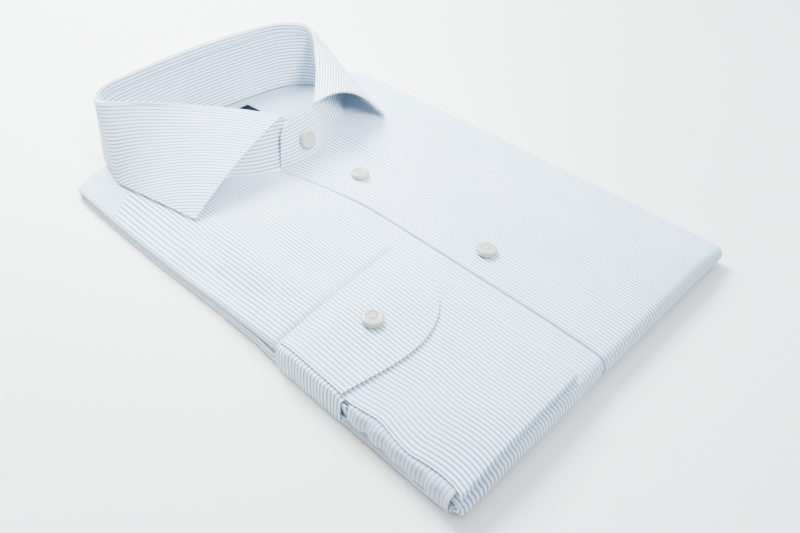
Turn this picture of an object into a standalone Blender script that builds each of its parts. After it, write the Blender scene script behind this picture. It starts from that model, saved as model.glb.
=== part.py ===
"""Folded dress shirt, lying face up with its collar standing.

Frame: origin at the middle of the flat underside, +X towards the wearer's left, +Y towards the
collar, +Z up. The tables below are in millimetres and every length is turned into metres by MM.
"""

import math
from collections import namedtuple
from operator import itemgetter

import bmesh
import bpy
from mathutils import Vector

MM = 0.001

CLOTH_WALL = 1.0
COLLAR_WALL = 1.2
CUFF_WALL = 1.3
SEAM_GAP = 0.3

SIDE_NEAR_X = -115.0
SIDE_FAR_X = 115.0
SIDE_ROLL = 1.6
SIDE_ROLL_STEPS = 5
SIDE_RETURN = 5.5
FOLD_SHARE = 0.66

BOTTOM_Y = -150.3
BOTTOM_SLOPE = -0.013
BOTTOM_BEND = 6.0
SHOULDER_BEND = 4.5
BEND_STEPS = 6
HEM_Y = 126.6
YOKE_BACK_Y = 127.0

OVERLAP = 30.0
UNDERLAP_SINK = 1.4
LAP_TOP_Y = 75.0
LAP_EVEN_X = 36.0

# Height of the top surface down the middle of the shirt: place along Y, height.
CREST_HEIGHT = ((-150, 14), (-135, 15), (70, 15), (110, 14.3), (140, 12), (160, 10.4), (178, 9.5))
# Line of the fold at the near side: place along Y, place along X.
NEAR_SIDE = (
    (-150, -113.4), (-140, -111.6), (-130, -111), (-36, -111), (-28, -112), (14, -112.5),
    (40, -113.5), (67, -114.4), (100, -115),
)
# Thickness of the folded stack at its two sides: place along Y, thickness.
NEAR_HEIGHT = (
    (-150, 10.5), (-120, 11.8), (-85, 13), (-32, 13), (0, 11), (50, 8.5), (150, 8),
)
FAR_HEIGHT = ((-150, 11), (0, 11), (100, 9.5), (130, 8.5), (178, 8.5))
NEAR_SHOULDERING = 35.0
FAR_SHOULDERING = 30.0

# Free edge of the left front, which lies on the right one: place along Y, place along X.
FRONT_EDGE = (
    (-150, -8.7), (-105, -7.4), (-13, -7.0), (6, -7.1), (24, -8.8), (36, -11), (54, -14.6),
    (75, -20.5),
)
# Top edge of the right front: its yoke seam, then its half of the neckline, as X, Y.
RIGHT_TOP = (
    (-116, 109), (-106, 117), (-98, 121), (-88, 127), (-78, 132), (-75.5, 128),
    (-72, 122), (-69, 117.5), (-62, 108), (-55, 98), (-45, 88.5), (-34, 81.5),
    (-22, 77.5), (-12, 75), (0, 74.7), (24, 80),
)
# Top edge of the left front: its half of the neckline, then its yoke seam, as X, Y.
LEFT_TOP = (
    (-21, 74.5), (-12, 73.3), (4, 73.2), (18, 77.5), (27, 81), (36, 86.5), (46, 93.5),
    (54, 100), (61, 109), (66, 117.5), (71, 129), (74, 134), (84, 131), (95, 129.6), (116, 134),
)
# The yoke's own front and neck edge, as X, Y.
YOKE_EDGE = (
    (-116, 109.6), (-106, 117.6), (-98, 121.6), (-88, 127.6), (-78, 132.6), (-76.2, 143),
    (-75, 152), (-73.2, 159), (-69.5, 164.5), (-63, 168), (-50, 170), (-20, 171), (20, 170.4),
    (45, 168), (56, 165), (63, 161), (68.5, 156), (71.6, 150), (73, 143), (74.2, 134.7),
    (84, 131.6), (95, 130.2), (116, 134.6),
)
# Line of the fold over the shoulders and the back of the neck, as X, Y.
SHOULDER_FOLD = (
    (-115, 150), (-113.4, 154.5), (-109, 157), (-103, 159.5), (-89, 163), (-80, 167),
    (-66, 173.5), (-50, 176.5), (-20, 178), (20, 177.5), (45, 175), (62, 171), (75, 168.5),
    (85, 166), (96, 162.5), (106, 156), (113, 146.5), (115, 141),
)

Station = namedtuple("Station", "seam_x seam_y fold_x fold_y fold_z edge_x edge_y lift lap arch")
# One row for each section of the collar, from its right point round the back to its left point:
# the band's foot, the leaf's fold line, the leaf's outer edge and its lift off the shirt, how far
# the leaf reaches down inside the band, and how far it arches.
COLLAR = (
    Station(-12, 75, -8, 84, 44.5, -86.5, 69, 1.7, 2.2, 1.0),
    Station(-34, 81.5, -23, 103, 46.5, -90, 90, 1.7, 5, 2.0),
    Station(-55, 98, -42, 123, 48.5, -93.3, 110, 1.7, 7.5, 2.5),
    Station(-69, 117.5, -62, 142, 50.5, -96, 128, 1.7, 7.5, 2.5),
    Station(-75.5, 138, -77, 154, 51.5, -96.3, 136, 1.7, 7.5, 2.0),
    Station(-74, 156, -83, 162.5, 52, -93.5, 147, 1.8, 7.5, 1.5),
    Station(-66, 166.6, -76, 171.5, 52.5, -87.5, 168, 3.0, 7.5, 1.5),
    Station(-50, 170, -58, 175.5, 53, -71, 184, 4.5, 7.5, 1.5),
    Station(0, 171, 0, 178.5, 54, 0, 191, 4.5, 7.5, 1.5),
    Station(45, 168, 50, 177, 53, 61, 188, 4.5, 7.5, 1.5),
    Station(62, 161.7, 67, 171, 52.5, 84, 178, 3.5, 7.5, 2.0),
    Station(71, 151.5, 75.5, 161, 51.5, 97, 162, 2.0, 7.5, 3.0),
    Station(73, 137, 71, 149, 49.5, 98, 148, 1.8, 7.5, 5.0),
    Station(66, 117.5, 60, 135, 47, 89, 127, 1.8, 7.5, 7.0),
    Station(54, 100, 45, 116.5, 45.2, 82.5, 111, 1.9, 6, 9.5),
    Station(36, 86.5, 28, 98, 44.4, 77.5, 93, 2.0, 4, 11.0),
    Station(18, 77.5, 13, 83.5, 44.4, 71.5, 75.5, 1.9, 2.2, 12.0),
)
STATION_STEPS = 2
FOLD_ROLL = 2.4
ROLL_ANGLES = (0, 35, 70, 105, 135)
LEAF_STEPS = 5
COLLAR_LEAST_LAP = 0.4

BandEnd = namedtuple("BandEnd", "seam_x seam_y top_x top_y top_z")
# The band's right end lies inside and its left end outside, from the middle towards each tip.
BAND_UNDER_END = (BandEnd(11, 76.8, 8.5, 84.8, 37), BandEnd(7.5, 75.8, 5.5, 83.9, 41))
BAND_OVER_END = (
    BandEnd(4, 73.1, 3, 81.2, 42.2), BandEnd(-12, 73.2, -8, 79.8, 42),
    BandEnd(-18, 74.4, -13, 79.2, 40.4), BandEnd(-20.5, 75.2, -16, 78.6, 34.5),
)
BAND_SHARES = (0, 0.33, 0.66, 1)

# Corners of the cuff on the shirt: hand edge and sleeve edge at its upper fold and lower fold.
CUFF_HAND_TOP = (-25.1, -25.8)
CUFF_SLEEVE_TOP = (-110.5, -34.4)
CUFF_SLEEVE_BOTTOM = (-113.0, -146.0)
CUFF_HAND_BOTTOM = (-29.0, -145.2)
# Rounded free end of the cuff's upper layer: share of the way from hand edge to sleeve edge, Y.
CUFF_OVER_END = (
    (0, -53), (0.034, -56.2), (0.09, -63.7), (0.15, -70.4), (0.229, -76.2), (0.332, -80.5),
    (0.468, -83.3), (0.588, -84.7), (0.7, -83.5), (0.814, -80.2), (0.918, -79.1), (1, -78),
)
CUFF_UNDER_END_Y = -58.0
CUFF_STEP_Y = -44.0
CUFF_STEP_LENGTH = 7.0
CUFF_COLUMNS = (0, 0.05, 0.1, 0.16, 0.25, 0.37, 0.5, 0.61, 0.72, 0.81, 0.9, 1)
CUFF_TURN_STEPS = 4

Pleat = namedtuple("Pleat", "place out low")
# The sleeve's face at the near side: place along Y, how far it stands out, height of its lower fold.
SLEEVE_ROWS = (
    Pleat(-35.2, 3.2, 1.2), Pleat(-41, 3.7, 0.9), Pleat(-48, 3.3, 0.7), Pleat(-54, 3.7, 0.8),
    Pleat(-61, 3.4, 0.6), Pleat(-67, 3.8, 0.8), Pleat(-73, 3.4, 0.7), Pleat(-79.5, 3.6, 1.0),
    Pleat(-84, 3.4, 2.6),
    Pleat(-90, 4.2, 3.3), Pleat(-95, 3.2, 4.0), Pleat(-100, 4.3, 3.1), Pleat(-106, 3.3, 3.7),
    Pleat(-111, 4.4, 3.3), Pleat(-117, 3.4, 3.8), Pleat(-122, 4.3, 3.2), Pleat(-128, 3.2, 3.7),
    Pleat(-133, 4.1, 3.0), Pleat(-138, 3.0, 3.3), Pleat(-142.5, 3.7, 2.8),
)
SLEEVE_SLIT_Y = -81.8
SLEEVE_SLIT_WIDTH = 3.4
SLEEVE_SLIT_FOOT = 2.2
SLEEVE_START = 0.9

BUTTON_RADIUS = 5.6
BUTTON_THICKNESS = 2.8
BUTTON_SIDES = 16
BUTTON_HOLE_RADIUS = 0.75
BUTTON_HOLE_SPREAD = 1.25
FRONT_BUTTONS = (("button_front_upper", 10.1, 36.8), ("button_front_lower", 10.0, -61.8))
CUFF_BUTTON = (-73.4, -58.6)
BAND_BUTTON = (1.0, 0.45)

# The inner yoke lies under the outer one, from inside the neck to near the shoulder fold.
INNER_DROP = CLOTH_WALL + 2 * SEAM_GAP
INNER_YOKE_FRONT_Y = 88.0
INNER_YOKE_GAP = 3.0
INNER_YOKE_STEPS = 6

LABEL_CENTRE = (-8.2, 157.6)
LABEL_SIZE = (52.0, 14.0)

CORE_SIDES = 40
CORE_DROP = CLOTH_WALL + UNDERLAP_SINK + 4 * SEAM_GAP
CORE_CORNER_POWER = 5.0
CORE_SHARES = (0.25, 0.5, 0.72, 0.88)
# How far the hidden layers stand back from the side folds: between them, at them, in their groove.
CORE_DEEP = SIDE_ROLL + SIDE_RETURN + 1.2
CORE_SHELF = 5.6
CORE_GROOVE = 6.4
CORE_END_GAP = 1.0
CORE_LAYER_GAP = 0.7
CORE_LAYER_PARTS = 3.2

WHITE_COTTON = (0.86, 0.90, 0.95, 1.0)
YOKE_COTTON = (0.80, 0.85, 0.91, 1.0)
PEARL = (0.80, 0.79, 0.75, 1.0)
LABEL_DARK = (0.03, 0.04, 0.07, 1.0)


def clear_scene():
    for old in list(bpy.data.objects):
        bpy.data.objects.remove(old, do_unlink=True)


def make_collection(name):
    group = bpy.data.collections.new(name)
    bpy.context.scene.collection.children.link(group)
    return group


def make_material(name, color, roughness):
    material = bpy.data.materials.new(name)
    material.use_nodes = True
    shader = material.node_tree.nodes["Principled BSDF"]
    shader.inputs["Base Color"].default_value = color
    shader.inputs["Roughness"].default_value = roughness
    shader.inputs["Metallic"].default_value = 0.0
    return material


def smooth_step(share):
    share = min(1.0, max(0.0, share))
    return share * share * (3.0 - 2.0 * share)


def read_table(rows, place):
    if place <= rows[0][0]:
        return rows[0][1]
    for (x0, y0), (x1, y1) in zip(rows, rows[1:]):
        if place <= x1:
            return y0 + (y1 - y0) * (place - x0) / (x1 - x0)
    return rows[-1][1]


def mix(low, high, share):
    return low + (high - low) * share


def spline_rows(rows, steps):
    """Pass a Catmull-Rom curve through each named column of the rows."""
    smooth = []
    last = len(rows) - 1
    for index in range(last):
        before, here = rows[max(index - 1, 0)], rows[index]
        ahead, beyond = rows[index + 1], rows[min(index + 2, last)]
        for step in range(steps):
            t = step / steps
            values = [
                0.5 * (2 * b + (c - a) * t + (2 * a - 5 * b + 4 * c - d) * t * t
                       + (3 * b - a - 3 * c + d) * t ** 3)
                for a, b, c, d in zip(before, here, ahead, beyond)
            ]
            smooth.append(type(here)(*values))
    smooth.append(rows[last])
    return smooth


def top_height(x, y):
    """Height of the folded shirt's top surface."""
    crest = read_table(CREST_HEIGHT, y)
    near = min(crest, read_table(NEAR_HEIGHT, y))
    far = min(crest, read_table(FAR_HEIGHT, y))
    near_share = smooth_step((x - SIDE_NEAR_X) / NEAR_SHOULDERING)
    far_share = smooth_step((SIDE_FAR_X - x) / FAR_SHOULDERING)
    return crest - (crest - near) * (1 - near_share) - (crest - far) * (1 - far_share)


def on_top(x, y, lift=0.0):
    return Vector((x, y, top_height(x, y) + lift))


def edge_x(y):
    return read_table(FRONT_EDGE, y)


def near_side(y):
    return read_table(NEAR_SIDE, y)


def bottom_y(x):
    return BOTTOM_Y + BOTTOM_SLOPE * x


def mesh_from_grid(name, grid, flip=False):
    """An open mesh of quads through a grid of points given in millimetres."""
    work = bmesh.new()
    rows = [[work.verts.new(point * MM) for point in row] for row in grid]
    for lower, upper in zip(rows, rows[1:]):
        for index in range(len(lower) - 1):
            corners = [lower[index], lower[index + 1], upper[index + 1], upper[index]]
            if flip:
                corners.reverse()
            work.faces.new(corners)
    mesh = bpy.data.meshes.new(name)
    work.to_mesh(mesh)
    work.free()
    return mesh


def add_object(name, mesh, material, collection):
    mesh.materials.append(material)
    mesh.shade_smooth()
    mesh.set_sharp_from_angle(angle=math.radians(50))
    thing = bpy.data.objects.new(name, mesh)
    collection.objects.link(thing)
    return thing


def cloth_sheet(name, grid, wall, material, collection, flip=False, even=True):
    """A cloth wall: its outer face is the grid and its thickness goes inwards."""
    sheet = add_object(name, mesh_from_grid(name, grid, flip), material, collection)
    solid = sheet.modifiers.new("wall", "SOLIDIFY")
    solid.thickness = wall * MM
    solid.offset = -1.0
    solid.use_even_offset = even
    solid.use_quality_normals = True
    return sheet


def side_columns(side_x, inward):
    """The fold at one side, from the hidden return out round the roll: X and depth share."""
    columns = [(side_x + inward * (SIDE_ROLL + SIDE_RETURN), FOLD_SHARE)]
    for step in range(SIDE_ROLL_STEPS + 1):
        angle = math.pi * (1 - step / SIDE_ROLL_STEPS)
        x = side_x + inward * SIDE_ROLL * (1 - math.sin(angle))
        columns.append((x, FOLD_SHARE * (1 - math.cos(angle)) / 2))
    return columns


def wrapped_path(x_of, depth, sink, start_y, fold_y, bend, under_y, top_steps, under_steps):
    """One column of a sheet that lies on top, bends round a cross fold and goes on underneath.

    depth is the share of the way to the mid-plane, and sink is a distance below the surface.
    """
    heading = 1 if fold_y > start_y else -1
    centre_y = fold_y - heading * bend
    path = []

    def put(x, y, z, centre, half):
        share = min(0.95, depth + sink / half)
        path.append(Vector((x, y, z)).lerp(centre, share))

    for step in range(top_steps + 1):
        y = mix(start_y, centre_y, step / top_steps)
        x = x_of(y)
        half = top_height(x, y) / 2
        put(x, y, 2 * half, Vector((x, y, half)), half)
    x = x_of(centre_y)
    half = top_height(x, centre_y) / 2
    centre = Vector((x, centre_y, half))
    for step in range(1, BEND_STEPS):
        angle = math.pi * step / BEND_STEPS
        y = centre_y + heading * bend * math.sin(angle)
        put(x, y, half + half * math.cos(angle), centre, half)
    for step in range(under_steps + 1):
        y = mix(centre_y, under_y, step / under_steps)
        x = x_of(y)
        half = top_height(x, y) / 2
        put(x, y, 0.0, Vector((x, y, half)), half)
    return path


def build_front_right(material, collection):
    """The right front: folded round the near side, and under the left front at the opening."""
    columns = []
    places = [(x, depth, 1.0) for x, depth in side_columns(SIDE_NEAR_X, 1)]
    places += [(-109, 0.0, 0.7), (-103, 0.0, 0.35)]
    places += [(x, 0.0, 0.0) for x in (-96, -88, -78, -75.5, -72, -69, -62, -55, -45, -34)]
    for x, depth, follow in places:
        def side_x(y, x=x, follow=follow):
            return x + (near_side(y) - SIDE_NEAR_X) * follow

        columns.append((side_x, depth, 0.0, x))
    sinks = ((-6, 0.0), (-1.5, UNDERLAP_SINK), (13, UNDERLAP_SINK), (OVERLAP, UNDERLAP_SINK))
    for offset, sink in sinks:
        def lap_x(y, offset=offset):
            return edge_x(y) + offset

        columns.append((lap_x, 0.0, sink, edge_x(LAP_TOP_Y) + offset))
    grid = []
    for x_of, depth, sink, top_x in columns:
        start = read_table(RIGHT_TOP, top_x)
        fold = bottom_y(top_x)
        grid.append(wrapped_path(x_of, depth, sink, start, fold, BOTTOM_BEND, HEM_Y, 10, 4))
    return cloth_sheet("front_right", grid, CLOTH_WALL, material, collection)


def build_front_left(material, collection):
    """The left front: its free edge lies on the right front, and it folds round the far side."""
    columns = []
    for share in (0, 0.09, 0.2, 0.36):
        def edge_share_x(y, share=share):
            return mix(edge_x(y), LAP_EVEN_X, share)

        columns.append((edge_share_x, 0.0, 0.0, edge_share_x(LAP_TOP_Y)))
    for x in (14, 27, 36, 46, 54, 61, 66, 71, 74, 84, 95, 104, 110):
        columns.append((lambda y, x=x: x, 0.0, 0.0, x))
    for x, depth in reversed(side_columns(SIDE_FAR_X, -1)):
        columns.append((lambda y, x=x: x, depth, 0.0, x))
    grid = []
    for x_of, depth, sink, top_x in columns:
        start = read_table(LEFT_TOP, top_x)
        fold = bottom_y(top_x)
        grid.append(wrapped_path(x_of, depth, sink, start, fold, BOTTOM_BEND, HEM_Y, 10, 4))
    return cloth_sheet("front_left", grid, CLOTH_WALL, material, collection)


def build_yoke(material, collection):
    """The yoke: over both shoulders, round the fold behind the neck and on to the back."""
    columns = []
    for x, depth in side_columns(SIDE_NEAR_X, 1):
        columns.append((x, depth))
    for x in (-109, -103, -96, -88, -78, -76.2, -75, -73.2, -69.5, -63, -50, -35, -12, 12, 30, 45, 56,
              63, 68.5, 71.6, 73, 74.2, 84, 95, 104, 110):
        columns.append((x, 0.0))
    for x, depth in reversed(side_columns(SIDE_FAR_X, -1)):
        columns.append((x, depth))
    grid = []
    for x, depth in columns:
        start = read_table(YOKE_EDGE, x)
        fold = read_table(SHOULDER_FOLD, x)
        path = wrapped_path(
            lambda y, x=x: x, depth, 0.0, start, fold, SHOULDER_BEND, YOKE_BACK_Y, 3, 2)
        grid.append(path)
    return cloth_sheet("yoke", grid, CLOTH_WALL, material, collection, flip=True)


def build_inner_yoke(material, collection):
    """The inner yoke, which shows through the neck: one step below the outer layer."""
    grid = []
    for x in (-84, -70, -50, -25, 0, 25, 50, 70, 82):
        back_y = read_table(SHOULDER_FOLD, x) - SHOULDER_BEND - INNER_YOKE_GAP
        steps = [step / INNER_YOKE_STEPS for step in range(INNER_YOKE_STEPS + 1)]
        grid.append([on_top(x, mix(INNER_YOKE_FRONT_Y, back_y, share), -INNER_DROP) for share in steps])
    return cloth_sheet("inner_yoke", grid, CLOTH_WALL, material, collection, flip=True)


def core_layers():
    """The rings of the hidden layers from underside to top: inset at sides, ends and its level."""
    return (
        (CORE_DEEP, "low", 0.0), (CORE_DEEP, "mid", -1.2), (CORE_SHELF, "mid", -1.0),
        (CORE_SHELF, "mid", -0.3), (CORE_GROOVE, "mid", 0.0), (CORE_SHELF, "mid", 0.3),
        (CORE_SHELF, "mid", 1.0), (CORE_DEEP, "mid", 1.2), (CORE_DEEP, "top", 0.0),
    )


def core_point(angle, share, inset, level, offset):
    """A point of the hidden layers, on a rounded rectangle shrunk by inset."""
    cosine, sine = math.cos(angle), math.sin(angle)
    u = math.copysign(abs(cosine) ** (2 / CORE_CORNER_POWER), cosine) * share
    v = math.copysign(abs(sine) ** (2 / CORE_CORNER_POWER), sine) * share
    x = u * (SIDE_FAR_X - inset)
    low_y = bottom_y(x) + BOTTOM_BEND + CORE_END_GAP
    step_back = (inset - CORE_SHELF) / 2 + CORE_END_GAP
    high_y = read_table(SHOULDER_FOLD, x) - SHOULDER_BEND - step_back
    y = mix(low_y, high_y, (v + 1) / 2)
    if u < 0:
        x = -u * (near_side(y) + inset)
    height = top_height(x, y)
    low = CLOTH_WALL + UNDERLAP_SINK + SEAM_GAP
    top = height - CORE_DROP
    fold_gap = height / 2 * (1 - FOLD_SHARE)
    layer = min(fold_gap - CORE_LAYER_GAP, (top - low) / CORE_LAYER_PARTS)
    z = {"low": low, "mid": (low + top) / 2 + offset * layer, "top": top}[level]
    return Vector((x, y, z))


def build_hidden_layers(material, collection):
    """Back, left sleeve and tails as one rounded solid whose edge shows two layers."""
    work = bmesh.new()
    rings = core_layers()
    angles = [2 * math.pi * (k + 0.5) / CORE_SIDES for k in range(CORE_SIDES)]

    def ring(share, row):
        inset, level, offset = row
        return [work.verts.new(core_point(angle, share, inset, level, offset) * MM) for angle in angles]

    loops = [ring(share, rings[0]) for share in CORE_SHARES]
    loops += [ring(1.0, row) for row in rings]
    loops += [ring(share, rings[-1]) for share in reversed(CORE_SHARES)]
    for lower, upper in zip(loops, loops[1:]):
        for k in range(CORE_SIDES):
            after = (k + 1) % CORE_SIDES
            work.faces.new((lower[k], lower[after], upper[after], upper[k]))
    for loop, row in ((loops[0], rings[0]), (loops[-1], rings[-1])):
        centre = work.verts.new(core_point(0.0, 0.0, *row) * MM)
        for k in range(CORE_SIDES):
            after = (k + 1) % CORE_SIDES
            if loop is loops[0]:
                work.faces.new((loop[after], loop[k], centre))
            else:
                work.faces.new((loop[k], loop[after], centre))
    mesh = bpy.data.meshes.new("hidden_layers")
    work.to_mesh(mesh)
    work.free()
    return add_object("hidden_layers", mesh, material, collection)


def collar_lap(row):
    """How far the leaf goes down inside the band, from its fold line."""
    return FOLD_ROLL + max(row.lap - FOLD_ROLL, COLLAR_LEAST_LAP)


def collar_section(row):
    """Foot, fold and edge of one section, and the directions up the band and out of the ring."""
    foot = on_top(row.seam_x, row.seam_y, SEAM_GAP)
    fold = Vector((row.fold_x, row.fold_y, row.fold_z))
    edge = on_top(row.edge_x, row.edge_y, row.lift)
    up = (fold - foot).normalized()
    reach = edge - fold
    out = (reach - up * reach.dot(up)).normalized()
    return foot, fold, edge, up, out


def build_collar_leaf(material, collection):
    """The leaf: up inside the band, over the fold line and down to its outer edge."""
    grid = []
    for row in spline_rows(COLLAR, STATION_STEPS):
        fold, edge, up, out = collar_section(row)[1:]
        centre = fold - up * FOLD_ROLL
        section = [fold - up * collar_lap(row)]
        for degrees in ROLL_ANGLES:
            angle = math.radians(degrees)
            turn = out * (1 - math.cos(angle)) + up * math.sin(angle)
            section.append(centre + turn * FOLD_ROLL)
        start = section[-1]
        bulge = start.lerp(edge, 0.5) + Vector((0, 0, 2 * row.arch))
        for step in range(1, LEAF_STEPS + 1):
            t = step / LEAF_STEPS
            section.append(start * (1 - t) ** 2 + bulge * 2 * t * (1 - t) + edge * t * t)
        grid.append(section)
    return cloth_sheet("collar_leaf", grid, COLLAR_WALL, material, collection, flip=True)


def band_end_section(end):
    """Foot and top of the band at one of its ends."""
    foot = on_top(end.seam_x, end.seam_y, SEAM_GAP)
    return foot, Vector((end.top_x, end.top_y, end.top_z))


def build_collar_band(material, collection):
    """The standing band, whose left end laps over its right end at the front."""
    sections = [band_end_section(end) for end in BAND_UNDER_END]
    for row in spline_rows(COLLAR, STATION_STEPS):
        foot, fold, up = itemgetter(0, 1, 3)(collar_section(row))
        sections.append((foot, fold - up * (collar_lap(row) + SEAM_GAP)))
    sections += [band_end_section(end) for end in spline_rows(BAND_OVER_END, STATION_STEPS)]
    grid = [[foot.lerp(top, share) for share in BAND_SHARES] for foot, top in sections]
    return cloth_sheet("collar_band", grid, COLLAR_WALL, material, collection, flip=True)


def cuff_corner(share_in, y):
    """Place across the cuff, from its hand edge to its sleeve edge, at one place along Y."""
    along = (y - CUFF_HAND_BOTTOM[1]) / (CUFF_HAND_TOP[1] - CUFF_HAND_BOTTOM[1])
    hand = mix(CUFF_HAND_BOTTOM[0], CUFF_HAND_TOP[0], along)
    sleeve = mix(CUFF_SLEEVE_BOTTOM[0], CUFF_SLEEVE_TOP[0], along)
    return mix(hand, sleeve, share_in)


def build_cuff(material, collection):
    """The cuff, a flattened tube: its under end, lower fold, lower layer, upper fold, over end."""
    low = SEAM_GAP
    under = 2 * CUFF_WALL + 2 * SEAM_GAP
    over = 3 * CUFF_WALL + 3 * SEAM_GAP
    radius = (under - low) / 2
    middle = (low + under) / 2
    turns = [math.pi * step / CUFF_TURN_STEPS for step in range(1, CUFF_TURN_STEPS)]
    grid = []
    for share in CUFF_COLUMNS:
        upper_y = mix(CUFF_HAND_TOP[1], CUFF_SLEEVE_TOP[1], share) - radius
        lower_y = mix(CUFF_HAND_BOTTOM[1], CUFF_SLEEVE_BOTTOM[1], share) + radius
        over_end = read_table(CUFF_OVER_END, share)
        places = [(mix(CUFF_UNDER_END_Y, lower_y, part), under) for part in (0, 0.25, 0.5, 0.75, 1)]
        for angle in turns:
            places.append((lower_y - radius * math.sin(angle), middle + radius * math.cos(angle)))
        places += [(mix(lower_y, upper_y, part), low) for part in (0, 0.2, 0.4, 0.6, 0.8, 1)]
        for angle in turns:
            places.append((upper_y + radius * math.sin(angle), middle - radius * math.cos(angle)))
        places.append((upper_y, under))
        places.append((CUFF_STEP_Y + CUFF_STEP_LENGTH, under + SEAM_GAP / 2))
        places += [(mix(CUFF_STEP_Y, over_end, part), over) for part in (0, 0.35, 0.7, 1)]
        grid.append([on_top(cuff_corner(share, y), y, lift) for y, lift in places])
    return cloth_sheet("cuff", grid, CUFF_WALL, material, collection, flip=True)


def cut_with(target, cutter):
    """Cut one object by another, which stays as a hidden guide."""
    cutter.hide_render = True
    cutter.display_type = "WIRE"
    cut = target.modifiers.new("cut_" + cutter.name, "BOOLEAN")
    cut.operation = "DIFFERENCE"
    cut.solver = "EXACT"
    cut.object = cutter


def box_object(name, low, high, collection):
    work = bmesh.new()
    bmesh.ops.create_cube(work, size=1.0)
    for vertex in work.verts:
        for axis in range(3):
            middle = (low[axis] + high[axis]) / 2
            vertex.co[axis] = (middle + vertex.co[axis] * (high[axis] - low[axis])) * MM
    mesh = bpy.data.meshes.new(name)
    work.to_mesh(mesh)
    work.free()
    thing = bpy.data.objects.new(name, mesh)
    collection.objects.link(thing)
    return thing


def build_sleeve(material, collection, cutters):
    """The sleeve where it comes round the near side, from the cuff down and in between the folds."""
    grid = []
    for row in SLEEVE_ROWS:
        y = row.place
        side = near_side(y)
        stack = top_height(side, y)
        start_x = cuff_corner(1.0, y) - SLEEVE_START
        crown = top_height(start_x, y) + 2 * CUFF_WALL + 2 * SEAM_GAP
        out_x = side - row.out
        low = row.low
        tuck_z = max(stack / 2 - 0.1, low + 1.6)
        section = (
            (start_x, crown - 0.2), (mix(start_x, out_x, 0.6), crown - 0.9),
            (out_x + 0.3, crown - 3.0), (out_x - 0.2, mix(low, crown, 0.5)), (out_x, low + 1.3),
            (out_x + 0.4, low + 0.35), (out_x + 1.3, low), (out_x + 2.2, low + 0.4),
            (side - 0.4, mix(low + 0.5, tuck_z, 0.5)), (side + 0.1, tuck_z),
            (side + 3.2, tuck_z + 0.4),
        )
        grid.append([Vector((x, y, z)) for x, z in section])
    sleeve = cloth_sheet("sleeve", grid, CLOTH_WALL, material, collection, even=False)
    side = near_side(SLEEVE_SLIT_Y)
    low_y = SLEEVE_SLIT_Y - SLEEVE_SLIT_WIDTH / 2
    high_y = SLEEVE_SLIT_Y + SLEEVE_SLIT_WIDTH / 2
    low, high = (side - 9, low_y, SLEEVE_SLIT_FOOT), (side - 1.8, high_y, 9.0)
    cut_with(sleeve, box_object("slit_face_cutter", low, high, cutters))
    low, high = (side - 9, low_y, 8.0), (side + 4, high_y, 30.0)
    cut_with(sleeve, box_object("slit_crown_cutter", low, high, cutters))
    return sleeve


def button_mesh():
    """A thick button: a turned profile with a rim and a dished middle."""
    outer, half = BUTTON_RADIUS, BUTTON_THICKNESS / 2
    profile = (
        (0.0, half - 0.75), (0.52 * outer, half - 0.6), (0.7 * outer, half), (0.88 * outer, half),
        (outer, 0.35 * half), (0.94 * outer, -0.6 * half), (0.6 * outer, -half), (0.0, -half),
    )
    mesh = bpy.data.meshes.new("button_profile")
    points = [(radius * MM, 0.0, z * MM) for radius, z in profile]
    edges = [(k, k + 1) for k in range(len(points) - 1)]
    mesh.from_pydata(points, edges, [])
    return mesh


def build_button(name, centre, normal, material, collection, cutters):
    """A button lying along its normal, with four holes."""
    button = bpy.data.objects.new(name, button_mesh())
    collection.objects.link(button)
    button.data.materials.append(material)
    turn = button.modifiers.new("turn", "SCREW")
    turn.steps = BUTTON_SIDES
    turn.render_steps = BUTTON_SIDES
    turn.use_merge_vertices = True
    turn.merge_threshold = 0.00005
    turn.use_smooth_shade = True
    work = bmesh.new()
    for index in range(4):
        angle = math.pi / 4 + index * math.pi / 2
        made = bmesh.ops.create_cone(
            work, cap_ends=True, segments=6, radius1=BUTTON_HOLE_RADIUS * MM,
            radius2=BUTTON_HOLE_RADIUS * MM, depth=3 * BUTTON_THICKNESS * MM)
        shift = Vector((math.cos(angle), math.sin(angle), 0)) * BUTTON_HOLE_SPREAD * MM
        bmesh.ops.translate(work, verts=made["verts"], vec=shift)
    mesh = bpy.data.meshes.new(name + "_holes")
    work.to_mesh(mesh)
    work.free()
    holes = bpy.data.objects.new(name + "_hole_cutter", mesh)
    cutters.objects.link(holes)
    facing = normal.normalized().to_track_quat("Z", "X")
    for thing in (button, holes):
        thing.location = centre * MM
        thing.rotation_mode = "QUATERNION"
        thing.rotation_quaternion = facing
    cut_with(button, holes)
    return button


def surface_normal(x, y):
    """The direction out of the shirt's top surface."""
    step = 1.0
    slope_x = (top_height(x + step, y) - top_height(x - step, y)) / (2 * step)
    slope_y = (top_height(x, y + step) - top_height(x, y - step)) / (2 * step)
    return Vector((-slope_x, -slope_y, 1)).normalized()


def build_buttons(material, collection, cutters):
    rise = BUTTON_THICKNESS / 2 + SEAM_GAP
    for name, x, y in FRONT_BUTTONS:
        normal = surface_normal(x, y)
        build_button(name, on_top(x, y) + normal * rise, normal, material, collection, cutters)
    x, y = CUFF_BUTTON
    normal = surface_normal(x, y)
    centre = on_top(x, y, 3 * CUFF_WALL + 3 * SEAM_GAP) + normal * rise
    build_button("button_cuff", centre, normal, material, collection, cutters)
    x, share = BAND_BUTTON
    foot, top = band_end_section(BAND_OVER_END[0])
    up = (top - foot).normalized()
    face = Vector((0, -1, 0)) + up * up.y
    face.normalize()
    place = foot.lerp(top, share)
    place.x = x
    centre = place + face * (COLLAR_WALL + SEAM_GAP + rise)
    build_button("button_band", centre, face, material, collection, cutters)


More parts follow.
